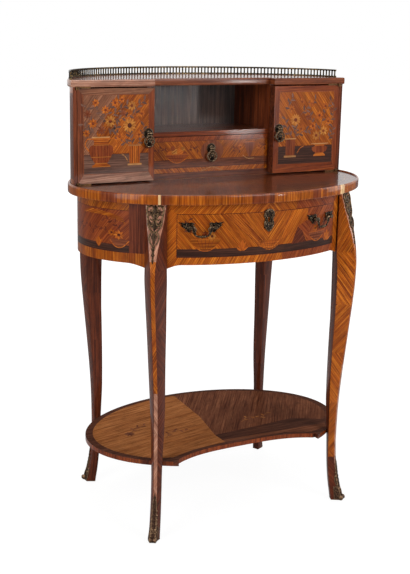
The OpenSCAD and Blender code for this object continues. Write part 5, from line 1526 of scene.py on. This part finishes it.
def galleryTree():
    tree = bpy.data.node_groups.new("gallery_spindles_along_path", "GeometryNodeTree")
    face = tree.interface
    face.new_socket("Geometry", in_out="INPUT", socket_type="NodeSocketGeometry")
    keys = {name: face.new_socket(name, in_out="INPUT", socket_type="NodeSocketFloat").identifier
            for name in ("Pitch", "Spindle height", "Spindle radius")}
    face.new_socket("Geometry", in_out="OUTPUT", socket_type="NodeSocketGeometry")
    given = addNode(tree, "NodeGroupInput").outputs
    path = addNode(tree, "GeometryNodeMeshToCurve", {0: given["Geometry"]}).outputs[0]
    even = addNode(tree, "GeometryNodeResampleCurve", {"Curve": path, "Length": given["Pitch"]},
                   mode="LENGTH")
    # one spindle: a plain rod, narrowed along its height by the profile
    rod = addNode(tree, "GeometryNodeMeshCylinder", {"Vertices": 8, "Side Segments": 14, "Radius": 1.0,
                                                     "Depth": 1.0})
    place = addNode(tree, "GeometryNodeInputPosition").outputs[0]
    height = addNode(tree, "ShaderNodeSeparateXYZ", {0: place}).outputs["Z"]
    profile = addNode(tree, "ShaderNodeFloatCurve", {"Value": mapRange(tree, height, 0.0, 1.0, -0.5, 0.5)})
    points = profile.mapping.curves[0].points
    for k, spot in enumerate(gallery["profile"]):
        if k < 2:
            points[k].location = spot
        else:
            points.new(*spot)
    profile.mapping.update()
    wide = addMath(tree, "MULTIPLY", profile.outputs[0], given["Spindle radius"])
    size = addNode(tree, "ShaderNodeCombineXYZ", {"X": wide, "Y": wide,
                                                  "Z": given["Spindle height"]}).outputs[0]
    turned = addNode(tree, "ShaderNodeVectorMath", {0: place, 1: size}, operation="MULTIPLY").outputs[0]
    shape = addNode(tree, "GeometryNodeSetPosition", {"Geometry": rod.outputs["Mesh"], "Position": turned})
    copies = addNode(tree, "GeometryNodeInstanceOnPoints",
                     {"Points": even.outputs[0], "Instance": shape.outputs[0]})
    real = addNode(tree, "GeometryNodeRealizeInstances", {0: copies.outputs[0]})
    skin = addNode(tree, "GeometryNodeSetMaterial", {"Geometry": real.outputs[0],
                                                     "Material": skins["gilt_brass"]})
    addNode(tree, "NodeGroupOutput", {0: skin.outputs[0]})
    return tree, keys


def makeGallery():
    a, b = gallery["halfW"], gallery["halfD"]
    t0 = math.degrees(math.asin(gallery["frontY"] / b))
    z = (gallery["low"] + gallery["height"] / 2) * toMetres
    count = 240
    path = [(x * toMetres, y * toMetres, z)
            for x, y in (around(a, b, t) for t in np.linspace(t0, 180 - t0, count))]
    me = bpy.data.meshes.new("gallery_path")
    me.from_pydata(path, [(k, k + 1) for k in range(count - 1)], [])
    guide = addObject("gallery_path", me)
    tree, keys = galleryTree()
    mod = guide.modifiers.new("spindles", "NODES")
    mod.node_group = tree
    for name, key in (("Pitch", "pitch"), ("Spindle height", "height"), ("Spindle radius", "radius")):
        mod[keys[name]] = gallery[key] * toMetres
    bpy.context.view_layer.update()
    done = bpy.data.meshes.new_from_object(guide.evaluated_get(bpy.context.evaluated_depsgraph_get()))
    guide.modifiers.clear()
    bpy.data.objects.remove(guide)
    done.name = "gallery_turned_spindles"
    smoothed(done, 60)
    addPiece("gallery_turned_spindles", done, "desk", ("gallery_spindles",))
    print("gallery spindles:", len(done.polygons), "faces")


makeGallery()


# finishes of the pieces that keep their own solids
kept = {
    "carcase_oak": ["table_top", "top_rail", "bearer_rail", "corner_blocks", "shelf_dowels",
                    "main_drawer_back", "small_drawer_back", "main_drawer_bottom",
                    "small_drawer_bottom"],
    "carcase_oak_deep": ["drawer_runners", "drawer_kickers", "main_drawer_sides", "small_drawer_sides"],
    "stained_upright": ["cabinet_side_left", "cabinet_side_right", "cabinet_back", "partitions", "apron_left",
                       "apron_right", "apron_back"],
    "stained_level": ["main_drawer_front", "small_drawer_front", "door_left", "door_right", "undertier_shelf",
                     "niche_shelf", "cabinet_floor"],
    "dark_niche": ["niche_back"],
    "darkest_bronze": ["bail_plates", "door_left_rosette", "door_right_rosette", "small_drawer_rosette"],
    "gilt_brass": ["gallery_base", "gallery_rail"],
    "plain_brass": ["drawer_lock", "lock_bolt", "catch_plates", "door_left_catch", "door_right_catch"],
    "aged_brass": ["hinge_plates", "door_left_hinge_leaves", "door_right_hinge_leaves"],
    "screw_steel": ["top_screws", "cabinet_screws"],
}
for look, names in kept.items():
    for name in names:
        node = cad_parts[name]
        if not node.material_slots:
            node.data.materials.append(skins[look])
        for one in node.material_slots:
            one.material = skins[look]
print("finishes are given to the kept solids")
